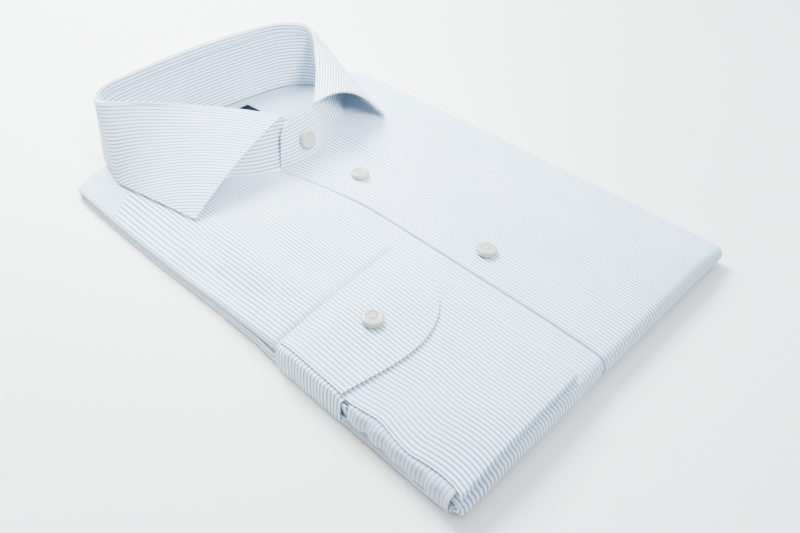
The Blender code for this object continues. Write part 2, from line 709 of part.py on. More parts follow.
def build_sleeve_placket(material, collection):
    """The edge of the strip that binds the sleeve's slit, standing in the slit."""
    y = SLEEVE_SLIT_Y
    side = near_side(y)
    stack = top_height(side, y)
    grid = []
    for step in range(5):
        share = step / 4
        z = mix(stack + 1.6, SLEEVE_SLIT_FOOT + 4.6, share)
        x = side - 1.7 - 1.3 * math.sin(math.pi * min(share + 0.25, 1.0))
        grid.append([Vector((x, y + 1.0, z)), Vector((x - 0.25, y, z)), Vector((x, y - 1.0, z))])
    return cloth_sheet("sleeve_placket", grid, CLOTH_WALL, material, collection, flip=True)


def build_neck_label(material, collection):
    """A plain tab on the inner yoke, with nothing on it."""
    width, depth = LABEL_SIZE
    grid = []
    for column in range(4):
        x = LABEL_CENTRE[0] + width * (column / 3 - 0.5)
        row = []
        for step in range(3):
            y = LABEL_CENTRE[1] + depth * (step / 2 - 0.5)
            row.append(on_top(x, y, SEAM_GAP + CLOTH_WALL - INNER_DROP))
        grid.append(row)
    return cloth_sheet("neck_label", grid, CLOTH_WALL, material, collection, flip=True)


def main():
    clear_scene()
    shirt = make_collection("folded_dress_shirt")
    cutters = make_collection("cutters")
    build_front_right(make_material("front_right_cotton", WHITE_COTTON, 0.8), shirt)
    build_front_left(make_material("front_left_cotton", WHITE_COTTON, 0.8), shirt)
    build_yoke(make_material("yoke_cotton", WHITE_COTTON, 0.8), shirt)
    build_inner_yoke(make_material("inner_yoke_cotton", YOKE_COTTON, 0.8), shirt)
    build_hidden_layers(make_material("hidden_cotton", WHITE_COTTON, 0.85), shirt)
    build_collar_leaf(make_material("collar_leaf_cotton", WHITE_COTTON, 0.7), shirt)
    build_collar_band(make_material("collar_band_cotton", WHITE_COTTON, 0.7), shirt)
    build_cuff(make_material("cuff_cotton", WHITE_COTTON, 0.7), shirt)
    build_sleeve(make_material("sleeve_cotton", WHITE_COTTON, 0.8), shirt, cutters)
    build_sleeve_placket(make_material("placket_cotton", WHITE_COTTON, 0.8), shirt)
    build_neck_label(make_material("label_weave", LABEL_DARK, 0.7), shirt)
    build_buttons(make_material("pearl_button", PEARL, 0.25), shirt, cutters)


main()
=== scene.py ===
# %% [markdown]
# # A folded striped shirt
# This lesson dresses a folded dress shirt. The frame that we load holds its plain solids. Every
# cloth piece is rebuilt here as a thin, finely divided shell in the same place.

# %% Load the frame
import math
from collections import namedtuple

import bmesh
import bpy
from mathutils import Matrix, Vector


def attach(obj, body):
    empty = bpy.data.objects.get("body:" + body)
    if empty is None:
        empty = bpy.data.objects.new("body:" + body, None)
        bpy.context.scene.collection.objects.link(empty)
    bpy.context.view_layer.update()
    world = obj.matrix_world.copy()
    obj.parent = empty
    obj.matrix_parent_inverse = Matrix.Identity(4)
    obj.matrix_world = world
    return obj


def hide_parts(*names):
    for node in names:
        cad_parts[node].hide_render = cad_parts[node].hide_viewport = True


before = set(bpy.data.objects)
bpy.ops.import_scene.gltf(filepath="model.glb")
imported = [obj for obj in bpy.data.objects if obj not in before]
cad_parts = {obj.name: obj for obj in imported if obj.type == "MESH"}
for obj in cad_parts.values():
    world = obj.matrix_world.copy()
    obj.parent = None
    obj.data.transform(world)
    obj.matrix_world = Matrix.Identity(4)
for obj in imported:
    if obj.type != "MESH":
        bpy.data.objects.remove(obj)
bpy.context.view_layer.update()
print("nodes in the frame:", sorted(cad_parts))

# %% [markdown]
# ## Sizes
# All tables are in millimetres. X runs across the shirt towards the wearer's left, Y from the
# bottom fold towards the collar, and Z is up. Most walls are thinner than the solids' walls.

# %% Sizes and tables
MM = 0.001
CLOTH_WALL = 0.6
COLLAR_WALL = 1.1
CUFF_WALL = 1.3
CUFF_CLOTH = 0.6
SEAM_GAP = 0.3
STRIPE_PITCH = 2.2

SIDE_NEAR_X = -115.0
SIDE_FAR_X = 115.0
SIDE_ROLL = 1.6
SIDE_RETURN = 5.5
FOLD_SHARE = 0.86
BOTTOM_Y = -150.3
BOTTOM_SLOPE = -0.013
BOTTOM_BEND = 6.0
SHOULDER_BEND = 4.5
HEM_Y = 126.6
YOKE_BACK_Y = 127.0
OVERLAP = 30.0
UNDERLAP_SINK = 1.4
LAP_TOP_Y = 75.0
LAP_EVEN_X = 36.0
NEAR_SHOULDERING = 35.0
FAR_SHOULDERING = 30.0
INNER_DROP = 1.25

NEAR_SIDE = (
    (-150, -113.4), (-140, -111.6), (-130, -111), (-36, -111), (-28, -112), (14, -112.5),
    (40, -113.5), (67, -114.4), (100, -115),
)
NEAR_FOOT = (
    (-150, 0.0), (-145, 0.6), (-138, 2.6), (-128, 3.3), (-60, 3.4), (-44, 3.0), (-32, 1.6),
    (-18, 0.2),
)
CREST_HEIGHT = ((-150, 14), (-135, 15), (70, 15), (110, 14.3), (140, 12), (160, 10.4), (178, 9.5))
NEAR_HEIGHT = (
    (-150, 10.5), (-120, 11.8), (-85, 13), (-32, 13), (0, 11), (50, 8.5), (150, 8),
)
FAR_HEIGHT = ((-150, 11), (0, 11), (100, 9.5), (130, 8.5), (178, 8.5))
FRONT_EDGE = (
    (-150, -8.7), (-105, -7.4), (-13, -7.0), (6, -7.1), (24, -8.8), (36, -11), (54, -14.6),
    (75, -20.5),
)
RIGHT_TOP = (
    (-116, 109), (-106, 117), (-98, 121), (-88, 127), (-78, 132), (-75.5, 128),
    (-72, 122), (-69, 117.5), (-62, 108), (-55, 98), (-45, 88.5), (-34, 81.5),
    (-22, 77.5), (-12, 75), (0, 74.7), (24, 80),
)
LEFT_TOP = (
    (-21, 74.5), (-12, 73.3), (4, 73.2), (18, 77.5), (27, 81), (36, 86.5), (46, 93.5),
    (54, 100), (61, 109), (66, 117.5), (71, 129), (74, 134), (84, 131), (95, 129.6), (116, 134),
)
YOKE_EDGE = (
    (-116, 109.6), (-106, 117.6), (-98, 121.6), (-88, 127.6), (-78, 132.6), (-76.2, 143),
    (-75, 152), (-73.2, 159), (-69.5, 164.5), (-63, 168), (-50, 170), (-20, 171), (20, 170.4),
    (45, 168), (56, 165), (63, 161), (68.5, 156), (71.6, 150), (73, 143), (74.2, 134.7),
    (84, 131.6), (95, 130.2), (116, 134.6),
)
SHOULDER_FOLD = (
    (-115, 150), (-113.4, 154.5), (-109, 157), (-103, 159.5), (-89, 163), (-80, 167),
    (-66, 173.5), (-50, 176.5), (-20, 178), (20, 177.5), (45, 175), (62, 171), (75, 168.5),
    (85, 166), (96, 162.5), (106, 156), (113, 146.5), (115, 141),
)

Station = namedtuple("Station", "seam_x seam_y fold_x fold_y fold_z edge_x edge_y lift lap arch")
COLLAR = [Station(*row) for row in (
    (-12, 75, -8, 84, 44.5, -86.5, 69, 1.7, 2.2, 3.4),
    (-34, 81.5, -23, 103, 46.5, -90, 90, 1.7, 5, 3.0),
    (-55, 98, -42, 123, 48.5, -93.3, 110, 1.7, 7.5, 2.5),
    (-69, 117.5, -62, 142, 50.5, -96, 128, 1.7, 7.5, 2.5),
    (-75.5, 138, -77, 154, 51.5, -96.3, 136, 1.7, 7.5, 2.0),
    (-74, 156, -83, 162.5, 52, -93.5, 147, 1.8, 7.5, 1.5),
    (-66, 166.6, -76, 171.5, 52.5, -87.5, 168, 3.0, 7.5, 1.5),
    (-50, 170, -58, 175.5, 53, -71, 184, 4.5, 7.5, 1.5),
    (0, 171, 0, 178.5, 54, 0, 191, 4.5, 7.5, 1.5), (45, 168, 50, 177, 53, 61, 188, 4.5, 7.5, 1.5),
    (62, 161.7, 67, 171, 52.5, 84, 178, 3.5, 7.5, 2.0),
    (71, 151.5, 75.5, 161, 51.5, 97, 162, 2.0, 7.5, 3.0),
    (73, 137, 71, 149, 49.5, 98, 148, 1.8, 7.5, 5.0),
    (66, 117.5, 60, 135, 47, 89, 127, 1.8, 7.5, 7.0),
    (54, 100, 45, 116.5, 45.2, 82.5, 111, 1.9, 6, 9.5),
    (36, 86.5, 28, 98, 44.4, 77.5, 93, 2.0, 4, 11.0),
    (18, 77.5, 13, 83.5, 44.4, 71.5, 75.5, 1.9, 2.2, 12.0),
)]
FOLD_ROLL = 2.4
ROLL_END = 135
COLLAR_LEAST_LAP = 0.4
STATION_STEPS = 8

BandEnd = namedtuple("BandEnd", "seam_x seam_y top_x top_y top_z")
BAND_UNDER_END = (BandEnd(11, 76.8, 8.5, 84.8, 37), BandEnd(7.5, 75.8, 5.5, 83.9, 41))
BAND_OVER_END = (
    BandEnd(4, 73.1, 3, 81.2, 42.2), BandEnd(-12, 73.2, -8, 79.8, 42),
    BandEnd(-18, 74.4, -13, 79.2, 40.4), BandEnd(-20.5, 75.2, -16, 78.6, 34.5),
)

CUFF_HAND_TOP = (-25.1, -25.8)
CUFF_SLEEVE_TOP = (-110.5, -34.4)
CUFF_SLEEVE_BOTTOM = (-113.0, -146.0)
CUFF_HAND_BOTTOM = (-29.0, -145.2)
CUFF_OVER_END = (
    (0, -53), (0.034, -56.6), (0.09, -64), (0.15, -70.4), (0.229, -76.2), (0.332, -80.8),
    (0.468, -83.6), (0.588, -84.2), (0.7, -83.2), (0.814, -81.2), (0.918, -79.3), (1, -78),
)
CUFF_EDGE_WAVE = (
    (-150, 1.5), (-146, 2.2), (-141, 3.4), (-135, 3.6), (-126, 2.6), (-117, 0.9), (-108, 1.6),
    (-99, 2.9), (-90, 1.3), (-83, 0.0),
)
CUFF_UNDER_END_Y = -58.0
CUFF_STEP_Y = -44.0
CUFF_STEP_LENGTH = 7.0

Pleat = namedtuple("Pleat", "place out low")
SLEEVE_ROWS = [Pleat(*row) for row in (
    (-35.2, 3.2, 1.2), (-41, 3.7, 0.9), (-48, 3.4, 0.7), (-54, 3.7, 0.8), (-61, 3.5, 0.6),
    (-67, 3.8, 0.8), (-73, 3.4, 0.7), (-79.5, 3.6, 1.0), (-84, 2.8, 5.6), (-90, 3.6, 5.2),
    (-95, 2.7, 6.6), (-100, 3.7, 5.3), (-106, 3.0, 5.8), (-111, 3.8, 4.9), (-117, 3.2, 5.0),
    (-122, 3.8, 4.3), (-128, 3.1, 4.1), (-133, 3.9, 3.3), (-138, 2.9, 3.4), (-142.5, 3.4, 2.8),
)]
SLEEVE_SLIT_Y = -81.8
SLEEVE_SLIT_WIDTH = 3.4
SLEEVE_SLIT_FOOT = 2.2
SLEEVE_START = 0.9

BUTTON_RADIUS = 5.6
BUTTON_THICKNESS = 3.4
FRONT_BUTTONS = (("button_front_upper", 10.1, 36.8), ("button_front_lower", 10.0, -61.8))
CUFF_BUTTON = (-73.4, -58.6)
BAND_BUTTON = (1.0, 0.45)
LABEL_CENTRE = (-7.5, 152.9)
LABEL_SIZE = (52.0, 14.0)

print("stations of the collar:", len(COLLAR), "and pleats of the sleeve:", len(SLEEVE_ROWS))

# %% [markdown]
# ## Creases
# Pressed cotton keeps a few soft ridges and troughs. Noise would be quicker to set up, but it
# can't put a crease where the cloth really bends, so each one follows a given line. They are
# uneven in length, width and height, and fade out at both ends.

# %% Creases
Crease = namedtuple("Crease", "x0 y0 x1 y1 width rise")
TOP_CREASES = [Crease(*row) for row in (
    (-97, 118, -104, 66, 7.0, 0.55), (-84, 64, -100, 20, 8.0, -0.50),
    (-103, 60, -95, 24, 4.5, 0.40), (-74, 58, -92, -4, 9.0, 0.45), (-60, 52, -70, -2, 8.0, -0.35),
    (-104, 14, -86, -18, 6.0, -0.45), (-46, 62, -52, 2, 10.0, 0.35),
    (-30, 60, -34, -10, 7.0, -0.25), (2, 66, 3, -30, 5.0, 0.30), (-2, 44, -1, -40, 3.2, -0.25),
    (28, 62, 22, 8, 6.0, -0.40), (46, 78, 38, 20, 9.0, 0.50), (62, 84, 60, 34, 7.0, -0.45),
    (86, 100, 80, 40, 10.0, 0.40), (98, 118, 100, 60, 6.0, -0.35), (40, 6, 60, -40, 11.0, 0.25),
    (74, 8, 70, -60, 9.0, -0.25), (96, -30, 92, -96, 8.0, 0.25), (16, -64, 28, -148, 1.6, 0.22),
    (30, -84, 44, -120, 8.0, -0.20), (64, -90, 58, -136, 9.0, 0.20),
    (-16, -60, -17, -130, 5.0, -0.20),
)]
UNDER_CREASES = [Crease(*row) for row in (
    (-80, 96, -70, 10, 9.0, 0.45), (-40, 60, -52, -40, 11.0, 0.35), (2, 90, -8, -20, 8.0, 0.40),
    (46, 70, 60, -30, 10.0, 0.45), (84, 30, 74, -90, 9.0, 0.35), (-20, -50, -8, -130, 10.0, 0.40),
)]
CREASE_TAIL = 0.3
CREASE_FADE = 0.5


def smooth_step(share):
    share = min(1.0, max(0.0, share))
    return share * share * (3.0 - 2.0 * share)


def window(value, start, end, rise, fall):
    """1 between start and end, with a smooth rise after start and a smooth fall before end."""
    return smooth_step((value - start) / rise) * smooth_step((end - value) / fall)


def mix(low, high, share):
    return low + (high - low) * share


def spread(start, end, count):
    """Even places from start to end, with both ends."""
    return [mix(start, end, k / count) for k in range(count + 1)]


def read_table(rows, place):
    if place <= rows[0][0]:
        return rows[0][1]
    for (x0, y0), (x1, y1) in zip(rows, rows[1:]):
        if place <= x1:
            return y0 + (y1 - y0) * (place - x0) / (x1 - x0)
    return rows[-1][1]


def read_curve(rows, place):
    """The table's value on a smooth curve through its rows."""
    if place <= rows[0][0] or place >= rows[-1][0]:
        return read_table(rows, place)
    k = max(index for index in range(len(rows) - 1) if rows[index][0] <= place)
    (x0, y0), (x1, y1) = rows[k], rows[k + 1]
    inner = (y1 - y0) / (x1 - x0)

    def slope(index):
        if index == 0 or index == len(rows) - 1:
            return inner
        (xa, ya), (xb, yb), (xc, yc) = rows[index - 1:index + 2]
        left, right = (yb - ya) / (xb - xa), (yc - yb) / (xc - xb)
        return 0.0 if left * right <= 0 else 2 * left * right / (left + right)

    t = (place - x0) / (x1 - x0)
    width = x1 - x0
    return (y0 * (1 + 2 * t) * (1 - t) ** 2 + slope(k) * width * t * (1 - t) ** 2
            + y1 * t * t * (3 - 2 * t) + slope(k + 1) * width * t * t * (t - 1))


def crease_height(rows, x, y):
    """The rise of all creases at one place. Each goes on a little past its two ends."""
    total = 0.0
    start, end = -CREASE_TAIL, 1 + CREASE_TAIL
    for row in rows:
        run = Vector((row.x1 - row.x0, row.y1 - row.y0))
        place = Vector((x - row.x0, y - row.y0))
        along = place.dot(run) / run.length_squared
        if start < along < end:
            away = abs(place.x * run.y - place.y * run.x) / run.length
            fade = window(along, start, end, CREASE_FADE, CREASE_FADE)
            total += row.rise * fade * math.exp(-(away / row.width) ** 2)
    return total


print("creases on top:", len(TOP_CREASES), "and underneath:", len(UNDER_CREASES))

# %% [markdown]
# ## Camera
# The view has the photograph's angle and frame. Its lens and place were worked out from the
# shirt's straight edges, so the camera is set by numbers and needs no target to look at.

# %% Camera
CAMERA_PLACE = (-0.23811, -0.22159, 0.26392)
CAMERA_AZIMUTH = -0.8407
CAMERA_ELEVATION = 0.7324
CAMERA_ROLL = 0.048
CAMERA_LENS = 31.83


def put_in_scene(name, data):
    thing = bpy.data.objects.new(name, data)
    bpy.context.scene.collection.objects.link(thing)
    return thing


def make_camera():
    data = bpy.data.cameras.new("view")
    data.lens = CAMERA_LENS
    data.sensor_width = 36.0
    data.clip_start = 0.01
    camera = put_in_scene("view", data)
    tilt = math.pi / 2 - CAMERA_ELEVATION
    camera.matrix_world = (
        Matrix.Translation(CAMERA_PLACE) @ Matrix.Rotation(CAMERA_AZIMUTH, 4, "Z")
        @ Matrix.Rotation(tilt, 4, "X") @ Matrix.Rotation(CAMERA_ROLL, 4, "Z"))
    bpy.context.scene.camera = camera
    return camera


camera = make_camera()
print("camera at", tuple(camera.matrix_world.translation))

# %% [markdown]
# ## Shader maths
# Nodes could be added and linked one by one, but a formula would then fill a page. A small class
# wraps a socket, so that shader maths can be written like ordinary maths. Its `make` method adds
# any other node and links or sets its inputs.

# %% Shader maths


class Flow:
    """A socket of a node tree that can be added and multiplied like a number."""

    def __init__(self, tree, socket=None):
        self.tree = tree
        self.socket = socket

    def make(self, kind, inputs=None, output=0, **settings):
        node = self.tree.nodes.new(kind)
        for name, value in settings.items():
            setattr(node, name, value)
        for key, value in (inputs or {}).items():
            if isinstance(value, Flow):
                self.tree.links.new(value.socket, node.inputs[key])
            else:
                node.inputs[key].default_value = value
        return Flow(self.tree, node.outputs[output])

    def maths(self, operation, *values):
        return self.make("ShaderNodeMath", dict(enumerate(values)), operation=operation)

    def __add__(self, other):
        return self.maths("ADD", self, other)

    __radd__ = __add__

    def __mul__(self, other):
        return self.maths("MULTIPLY", self, other)

    __rmul__ = __mul__

    def __sub__(self, other):
        return self.maths("SUBTRACT", self, other)

    def __rsub__(self, other):
        return self.maths("SUBTRACT", other, self)

    def __truediv__(self, other):
        return self.maths("DIVIDE", self, other)

    def __rtruediv__(self, other):
        return self.maths("DIVIDE", other, self)

    def blend(self, low, high):
        """Colour low where this value is 0, and high where it is 1."""
        return self.make(
            "ShaderNodeMix", {0: self, 6: low, 7: high}, output=2, data_type="RGBA")

    def noise(self, place, scale, detail=2.0):
        return self.make(
            "ShaderNodeTexNoise", {"Vector": place, "Scale": scale, "Detail": detail})

    def wave(self, pitch):
        """A sine wave that repeats once in each pitch."""
        return self.maths("SINE", self * (2 * math.pi / pitch))

    def ramp(self, start, end, low=0.0, high=1.0):
        """A soft step between two values."""
        return self.make(
            "ShaderNodeMapRange",
            {"Value": self, "From Min": start, "From Max": end, "To Min": low, "To Max": high},
            interpolation_type="SMOOTHSTEP")


def new_material(name):
    """A material with a Principled shader, and a Flow to build its inputs with."""
    material = bpy.data.materials.new(name)
    material.use_nodes = True
    return material, Flow(material.node_tree)


def feed(material, **inputs):
    """Sets or links inputs of the material's shader. Their names take _ for a space."""
    tree = material.node_tree
    for name, value in inputs.items():
        socket = tree.nodes["Principled BSDF"].inputs[name.replace("_", " ")]
        if isinstance(value, Flow):
            tree.links.new(value.socket, socket)
        else:
            socket.default_value = value
    return material


def cloth_place(flow):
    """Place across and along the cloth, in metres, from the UV map."""
    place = flow.make("ShaderNodeUVMap", uv_map="UVMap")
    across = flow.make("ShaderNodeSeparateXYZ", {0: place}, output=0)
    along = flow.make("ShaderNodeSeparateXYZ", {0: place}, output=1)
    return place, across, along


print("shader helpers ready")

# %% [markdown]
# ## Materials
# The shirting is a white poplin with fine pale blue stripes. An image could carry them, but it
# would blur close up. Here the stripes and threads are worked out from each piece's own UV map,
# which is in metres, so their scale is right everywhere. A point attribute, shade, darkens the
# cloth where a piece has it painted on.

# %% Materials
WHITE = (0.860, 0.930, 0.990, 1.0)
BLUE = (0.220, 0.310, 0.395, 1.0)
LAVENDER = (0.74, 0.745, 0.84, 1.0)
SHADOW = (0.33, 0.365, 0.41, 1.0)
THREAD_PITCH = 0.00036
RIB_PITCH = 0.0005


def bump(flow, height, strength, distance):
    return flow.make(
        "ShaderNodeBump", {"Strength": strength, "Distance": distance, "Height": height})


def weave_bump(flow, across, along, place, strength):
    """Plain weave: warp and weft threads that pass over and under each other."""
    weave = across.wave(THREAD_PITCH) * along.wave(THREAD_PITCH) * 0.5
    return bump(flow, weave + flow.noise(place, 900.0, 3.0) * 0.8, strength, 0.00006)


def make_shirting(name, roughness):
    material, flow = new_material(name)
    place, across, along = cloth_place(flow)
    stretched = flow.make(
        "ShaderNodeCombineXYZ", {0: across * 900.0, 1: along * 60.0, 2: 0.0})
    slub = flow.noise(stretched, 1.0, 2.0)
    phase = flow.maths("FRACT", across / (STRIPE_PITCH * MM))
    from_middle = flow.maths("ABSOLUTE", phase - 0.5) * 2.0
    line = 1.0 - from_middle.ramp(0.34, 0.62)
    stripes = (line * (slub * 0.5 + 0.72)).blend(WHITE, BLUE)
    drift = flow.noise(place, 16.0, 3.0).ramp(0.35, 0.70)
    tinted = (drift * 0.32).blend(stripes, LAVENDER)
    shade = flow.make("ShaderNodeAttribute", output=2, attribute_name="shade")
    return feed(
        material, Base_Color=(shade * 0.8).blend(tinted, SHADOW), Roughness=slub * 0.10 + roughness,
        Normal=weave_bump(flow, across, along, place, 0.35), Specular_IOR_Level=0.25,
        Sheen_Weight=0.12, Sheen_Roughness=0.5)


def make_plain_cotton(name, color, shade):
    material, flow = new_material(name)
    place, across, along = cloth_place(flow)
    mottle = flow.noise(place, 60.0, 4.0)
    fine = flow.noise(place, 1400.0, 2.0)
    return feed(
        material, Base_Color=(mottle * 0.5 + fine * 0.3).blend(color, shade),
        Roughness=fine * 0.1 + 0.75, Normal=weave_bump(flow, across, along, place, 0.4),
        Specular_IOR_Level=0.25)


def make_label_weave(name, color, shade):
    material, flow = new_material(name)
    place, across, along = cloth_place(flow)
    ribs = along.wave(RIB_PITCH) * 0.5 + 0.5
    satin = flow.noise(place, 500.0, 2.0)
    return feed(
        material, Base_Color=(ribs * 0.4 + satin * 0.3).blend(color, shade),
        Roughness=satin * 0.1 + 0.8, Normal=bump(flow, ribs, 0.5, 0.0001), Specular_IOR_Level=0.05)


def make_pearl(name, color, shade):
    material, flow = new_material(name)
    place = flow.make("ShaderNodeTexCoord", output=3)
    cloud = flow.noise(place, 260.0, 4.0)
    bands = flow.make(
        "ShaderNodeTexWave", {"Vector": place, "Scale": 160.0, "Distortion": 9.0, "Detail": 3.0})
    return feed(
        material, Base_Color=(cloud * 0.6 + bands * 0.4).blend(color, shade),
        Roughness=cloud * 0.2 + 0.12, Coat_Weight=0.5, Coat_Roughness=0.08, Subsurface_Weight=0.15,
        Subsurface_Radius=(0.002, 0.0018, 0.0015))


def make_thread(name, color, shade):
    material, flow = new_material(name)
    place = flow.make("ShaderNodeTexCoord", output=3)
    twist = flow.make(
        "ShaderNodeTexWave", {"Vector": place, "Scale": 900.0, "Distortion": 2.0})
    return feed(material, Base_Color=twist.blend(color, shade), Roughness=twist * 0.1 + 0.6,
                Normal=bump(flow, twist, 0.4, 0.0001))


shirting = make_shirting("shirting", 0.76)
pressed_shirting = make_shirting("interlined_shirting", 0.68)
yoke_lining = make_plain_cotton("yoke_lining", (0.42, 0.48, 0.55, 1.0), (0.37, 0.43, 0.50, 1.0))
label_weave = make_label_weave(
    "label_weave", (0.002, 0.003, 0.006, 1.0), (0.008, 0.010, 0.018, 1.0))
pearl = make_pearl("pearl", (0.31, 0.280, 0.205, 1.0), (0.57, 0.52, 0.41, 1.0))
sewing_thread = make_thread("sewing_thread", (0.80, 0.86, 0.92, 1.0), (0.62, 0.70, 0.79, 1.0))
print("materials:", sorted(material.name for material in bpy.data.materials))

# %% [markdown]
# ## Cloth shells
# A cloth simulation could drape these pieces, but folds that have to meet a solid are easier to
# place one by one. A shell starts as an open grid of points, and its UV map measures real length
# across and along the cloth. Solidify gives it a thin wall on its inner side.

# %% Cloth shells
SHARP_ANGLE = math.radians(50)
BUTTON_SHARP_ANGLE = math.radians(42)


def running_length(points):
    total, lengths = 0.0, [0.0]
    for before, after in zip(points, points[1:]):
        total += (after - before).length
        lengths.append(total)
    return lengths


def grid_uv(grid, stripes_along_rows):
    """UV in metres. Stripes run along each row of the grid, or across the rows."""
    middle_column = [row[len(row) // 2] for row in grid]
    order = 1 if stripes_along_rows else -1
    return [[(a * MM, b * MM)[::order] for b in running_length(row)]
            for a, row in zip(running_length(middle_column), grid)]


def plain_mesh(thing):
    """Replaces an object's mesh by what its modifiers make, and removes them."""
    graph = bpy.context.evaluated_depsgraph_get()
    mesh = bpy.data.meshes.new_from_object(thing.evaluated_get(graph))
    thing.modifiers.clear()
    thing.data = mesh
    return thing


def bmesh_object(name, work, material=None):
    """A new object with the mesh that was built in work, which is freed."""
    mesh = bpy.data.meshes.new(name)
    work.to_mesh(mesh)
    work.free()
    if material:
        mesh.materials.append(material)
    return put_in_scene(name, mesh)


def cloth_shell(name, grid, wall, material, along=True, flip=False, even=True, skip=(), uv=None):
    """A cloth piece whose outer face is the grid. Stripes run along the grid's rows or across them,
    unless a UV is given, and skip names the quads that are left open."""
    uv = uv or grid_uv(grid, along)
    work = bmesh.new()
    layer = work.loops.layers.uv.new("UVMap")
    corners = [[work.verts.new(point * MM) for point in row] for row in grid]
    for i in range(len(grid) - 1):
        for j in range(len(grid[0]) - 1):
            if (i, j) in skip:
                continue
            places = [(i, j), (i, j + 1), (i + 1, j + 1), (i + 1, j)]
            if flip:
                places.reverse()
            face = work.faces.new([corners[a][b] for a, b in places])
            face.smooth = True
            for loop, (a, b) in zip(face.loops, places):
                loop[layer].uv = uv[a][b]
    bmesh.ops.delete(work, geom=[v for v in work.verts if not v.link_faces], context="VERTS")
    thing = bmesh_object(name, work, material)
    solid = thing.modifiers.new("wall", "SOLIDIFY")
    solid.thickness = wall * MM
    solid.offset = -1.0
    solid.use_even_offset = even
    solid.use_quality_normals = True
    plain_mesh(thing)
    thing.data.set_sharp_from_angle(angle=SHARP_ANGLE)
    return thing


def paint_shade(thing, shade_at):
    """Darkens the cloth where a shadow is too fine for soft light to draw."""
    layer = thing.data.attributes.new("shade", "FLOAT", "POINT")
    for vertex, item in zip(thing.data.vertices, layer.data):
        item.value = shade_at(*(vertex.co / MM))
    return thing


def triangle_count(thing):
    return sum(len(face.vertices) - 2 for face in thing.data.polygons)


def dress(thing, node):
    """The piece rides with the shirt and stands for its solid, which is hidden."""
    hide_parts(node)
    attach(thing, "root")
    area = sum(face.area for face in thing.data.polygons) / 2
    print(f"{thing.name}: {triangle_count(thing)} triangles, about {area * 10000:.0f} cm2 of cloth")
    return thing


print("shell helpers ready")

# %% [markdown]
# ## The folded body
# The fronts and the yoke are sheets that lie on top of the folded stack, bend round a cross fold
# and come back underneath. Each column of such a sheet is one path round the stack, so that the
# cloth and its stripes run on unbroken, as a bent plane's would not.

# %% Paths round the stack
BEND_STEPS = 24
SIDE_ROLL_STEPS = 8
CREASE_STRENGTH = 2.4
PRESS_ABOVE = 1.5
PRESS_BELOW = 0.9
CUFF_SHADOW = 0.6
SLIT_SHADOW_X = -104
MOST_DEPTH = 0.95


def stack_height(x, y):
    """The folded stack's top, which is lower along both sides than in the middle."""
    crest = read_curve(CREST_HEIGHT, y)
    height = crest
    for rows, inward, reach in ((NEAR_HEIGHT, x - SIDE_NEAR_X, NEAR_SHOULDERING),
                                (FAR_HEIGHT, SIDE_FAR_X - x, FAR_SHOULDERING)):
        edge = min(crest, read_curve(rows, y))
        height -= (crest - edge) * (1 - smooth_step(inward / reach))
    return height


def on_stack(x, y, lift=0.0):
    return Vector((x, y, stack_height(x, y) + lift))


def edge_x(y):
    return read_curve(FRONT_EDGE, y)


def near_side(y):
    return read_curve(NEAR_SIDE, y)


def near_foot(y):
    """How far the lowest layer stands out beyond the near side's fold, under the sleeve."""
    return read_curve(NEAR_FOOT, y)


def bottom_y(x):
    return BOTTOM_Y + BOTTOM_SLOPE * x


def covered(x, y):
    """1 where the collar or the cuff lies on the shirt, and 0 in the open."""
    cuff = smooth_step((-22 - x) / 6) * smooth_step((-20 - y) / 8)
    leaf_near = smooth_step((-60 - x) / 8) * smooth_step((y - 58) / 8)
    leaf_far = smooth_step((x - 60) / 8) * smooth_step((y - 66) / 8)
    neck = smooth_step((y - 66) / 6)
    return max(cuff, leaf_near, leaf_far, neck)


def cuff_share(x):
    """How far x is on the way from the cuff's hand edge to its sleeve edge."""
    return (CUFF_HAND_TOP[0] - x) / (CUFF_HAND_TOP[0] - CUFF_SLEEVE_TOP[0])


def cuff_folds(share):
    """Y of the cuff's upper and lower folds there."""
    return (mix(CUFF_HAND_TOP[1], CUFF_SLEEVE_TOP[1], share),
            mix(CUFF_HAND_BOTTOM[1], CUFF_SLEEVE_BOTTOM[1], share))


def cuff_press(x, y):
    """How deep the cuff presses the front in, just above its upper fold and below its lower one."""
    share = cuff_share(x)
    upper_y, lower_y = cuff_folds(share)
    above = window(y - upper_y, -3, 4.3, 3, 1.7)
    below = math.exp(-((y - lower_y + 0.4) / 1.1) ** 2)
    return window(share, -0.04, 1.03, 0.05, 0.05) * (PRESS_ABOVE * above + PRESS_BELOW * below)


def front_shade(x, y, z):
    """The fine shadow above the cuff's upper fold, and the one on the lowest layer by the slit."""
    if z < CREST_HEIGHT[0][1] / 2:
        return window(y, -130, -80, 30, 3) * float(x < SLIT_SHADOW_X)
    share = cuff_share(x)
    above = window(y - cuff_folds(share)[0], -4, 6.6, 3, 3.4)
    return CUFF_SHADOW * window(share, -0.05, 1.06, 0.08, 0.10) * above


def top_relief(x, y):
    """Creases of the top surface, which stay low where another piece lies on it."""
    height = crease_height(TOP_CREASES, x, y)
    return CREASE_STRENGTH * height * (1 - covered(x, y)) - cuff_press(x, y)


def side_columns(side_x, inward):
    """X and depth of the columns that go round a side fold, from the lowest one up."""
    columns = [(side_x + inward * (SIDE_ROLL + SIDE_RETURN), FOLD_SHARE)]
    for step in range(SIDE_ROLL_STEPS + 1):
        angle = math.pi * (1 - step / SIDE_ROLL_STEPS)
        x = side_x + inward * SIDE_ROLL * (1 - math.sin(angle))
        columns.append((x, FOLD_SHARE * (1 - math.cos(angle)) / 2))
    return columns


def lap_depth(y):
    """The share of its full step down that the right front takes under the left one."""
    return mix(0.52, 0.86, smooth_step((42 - y) / 34))


Column = namedtuple("Column", "x_of depth sink top_x foot")


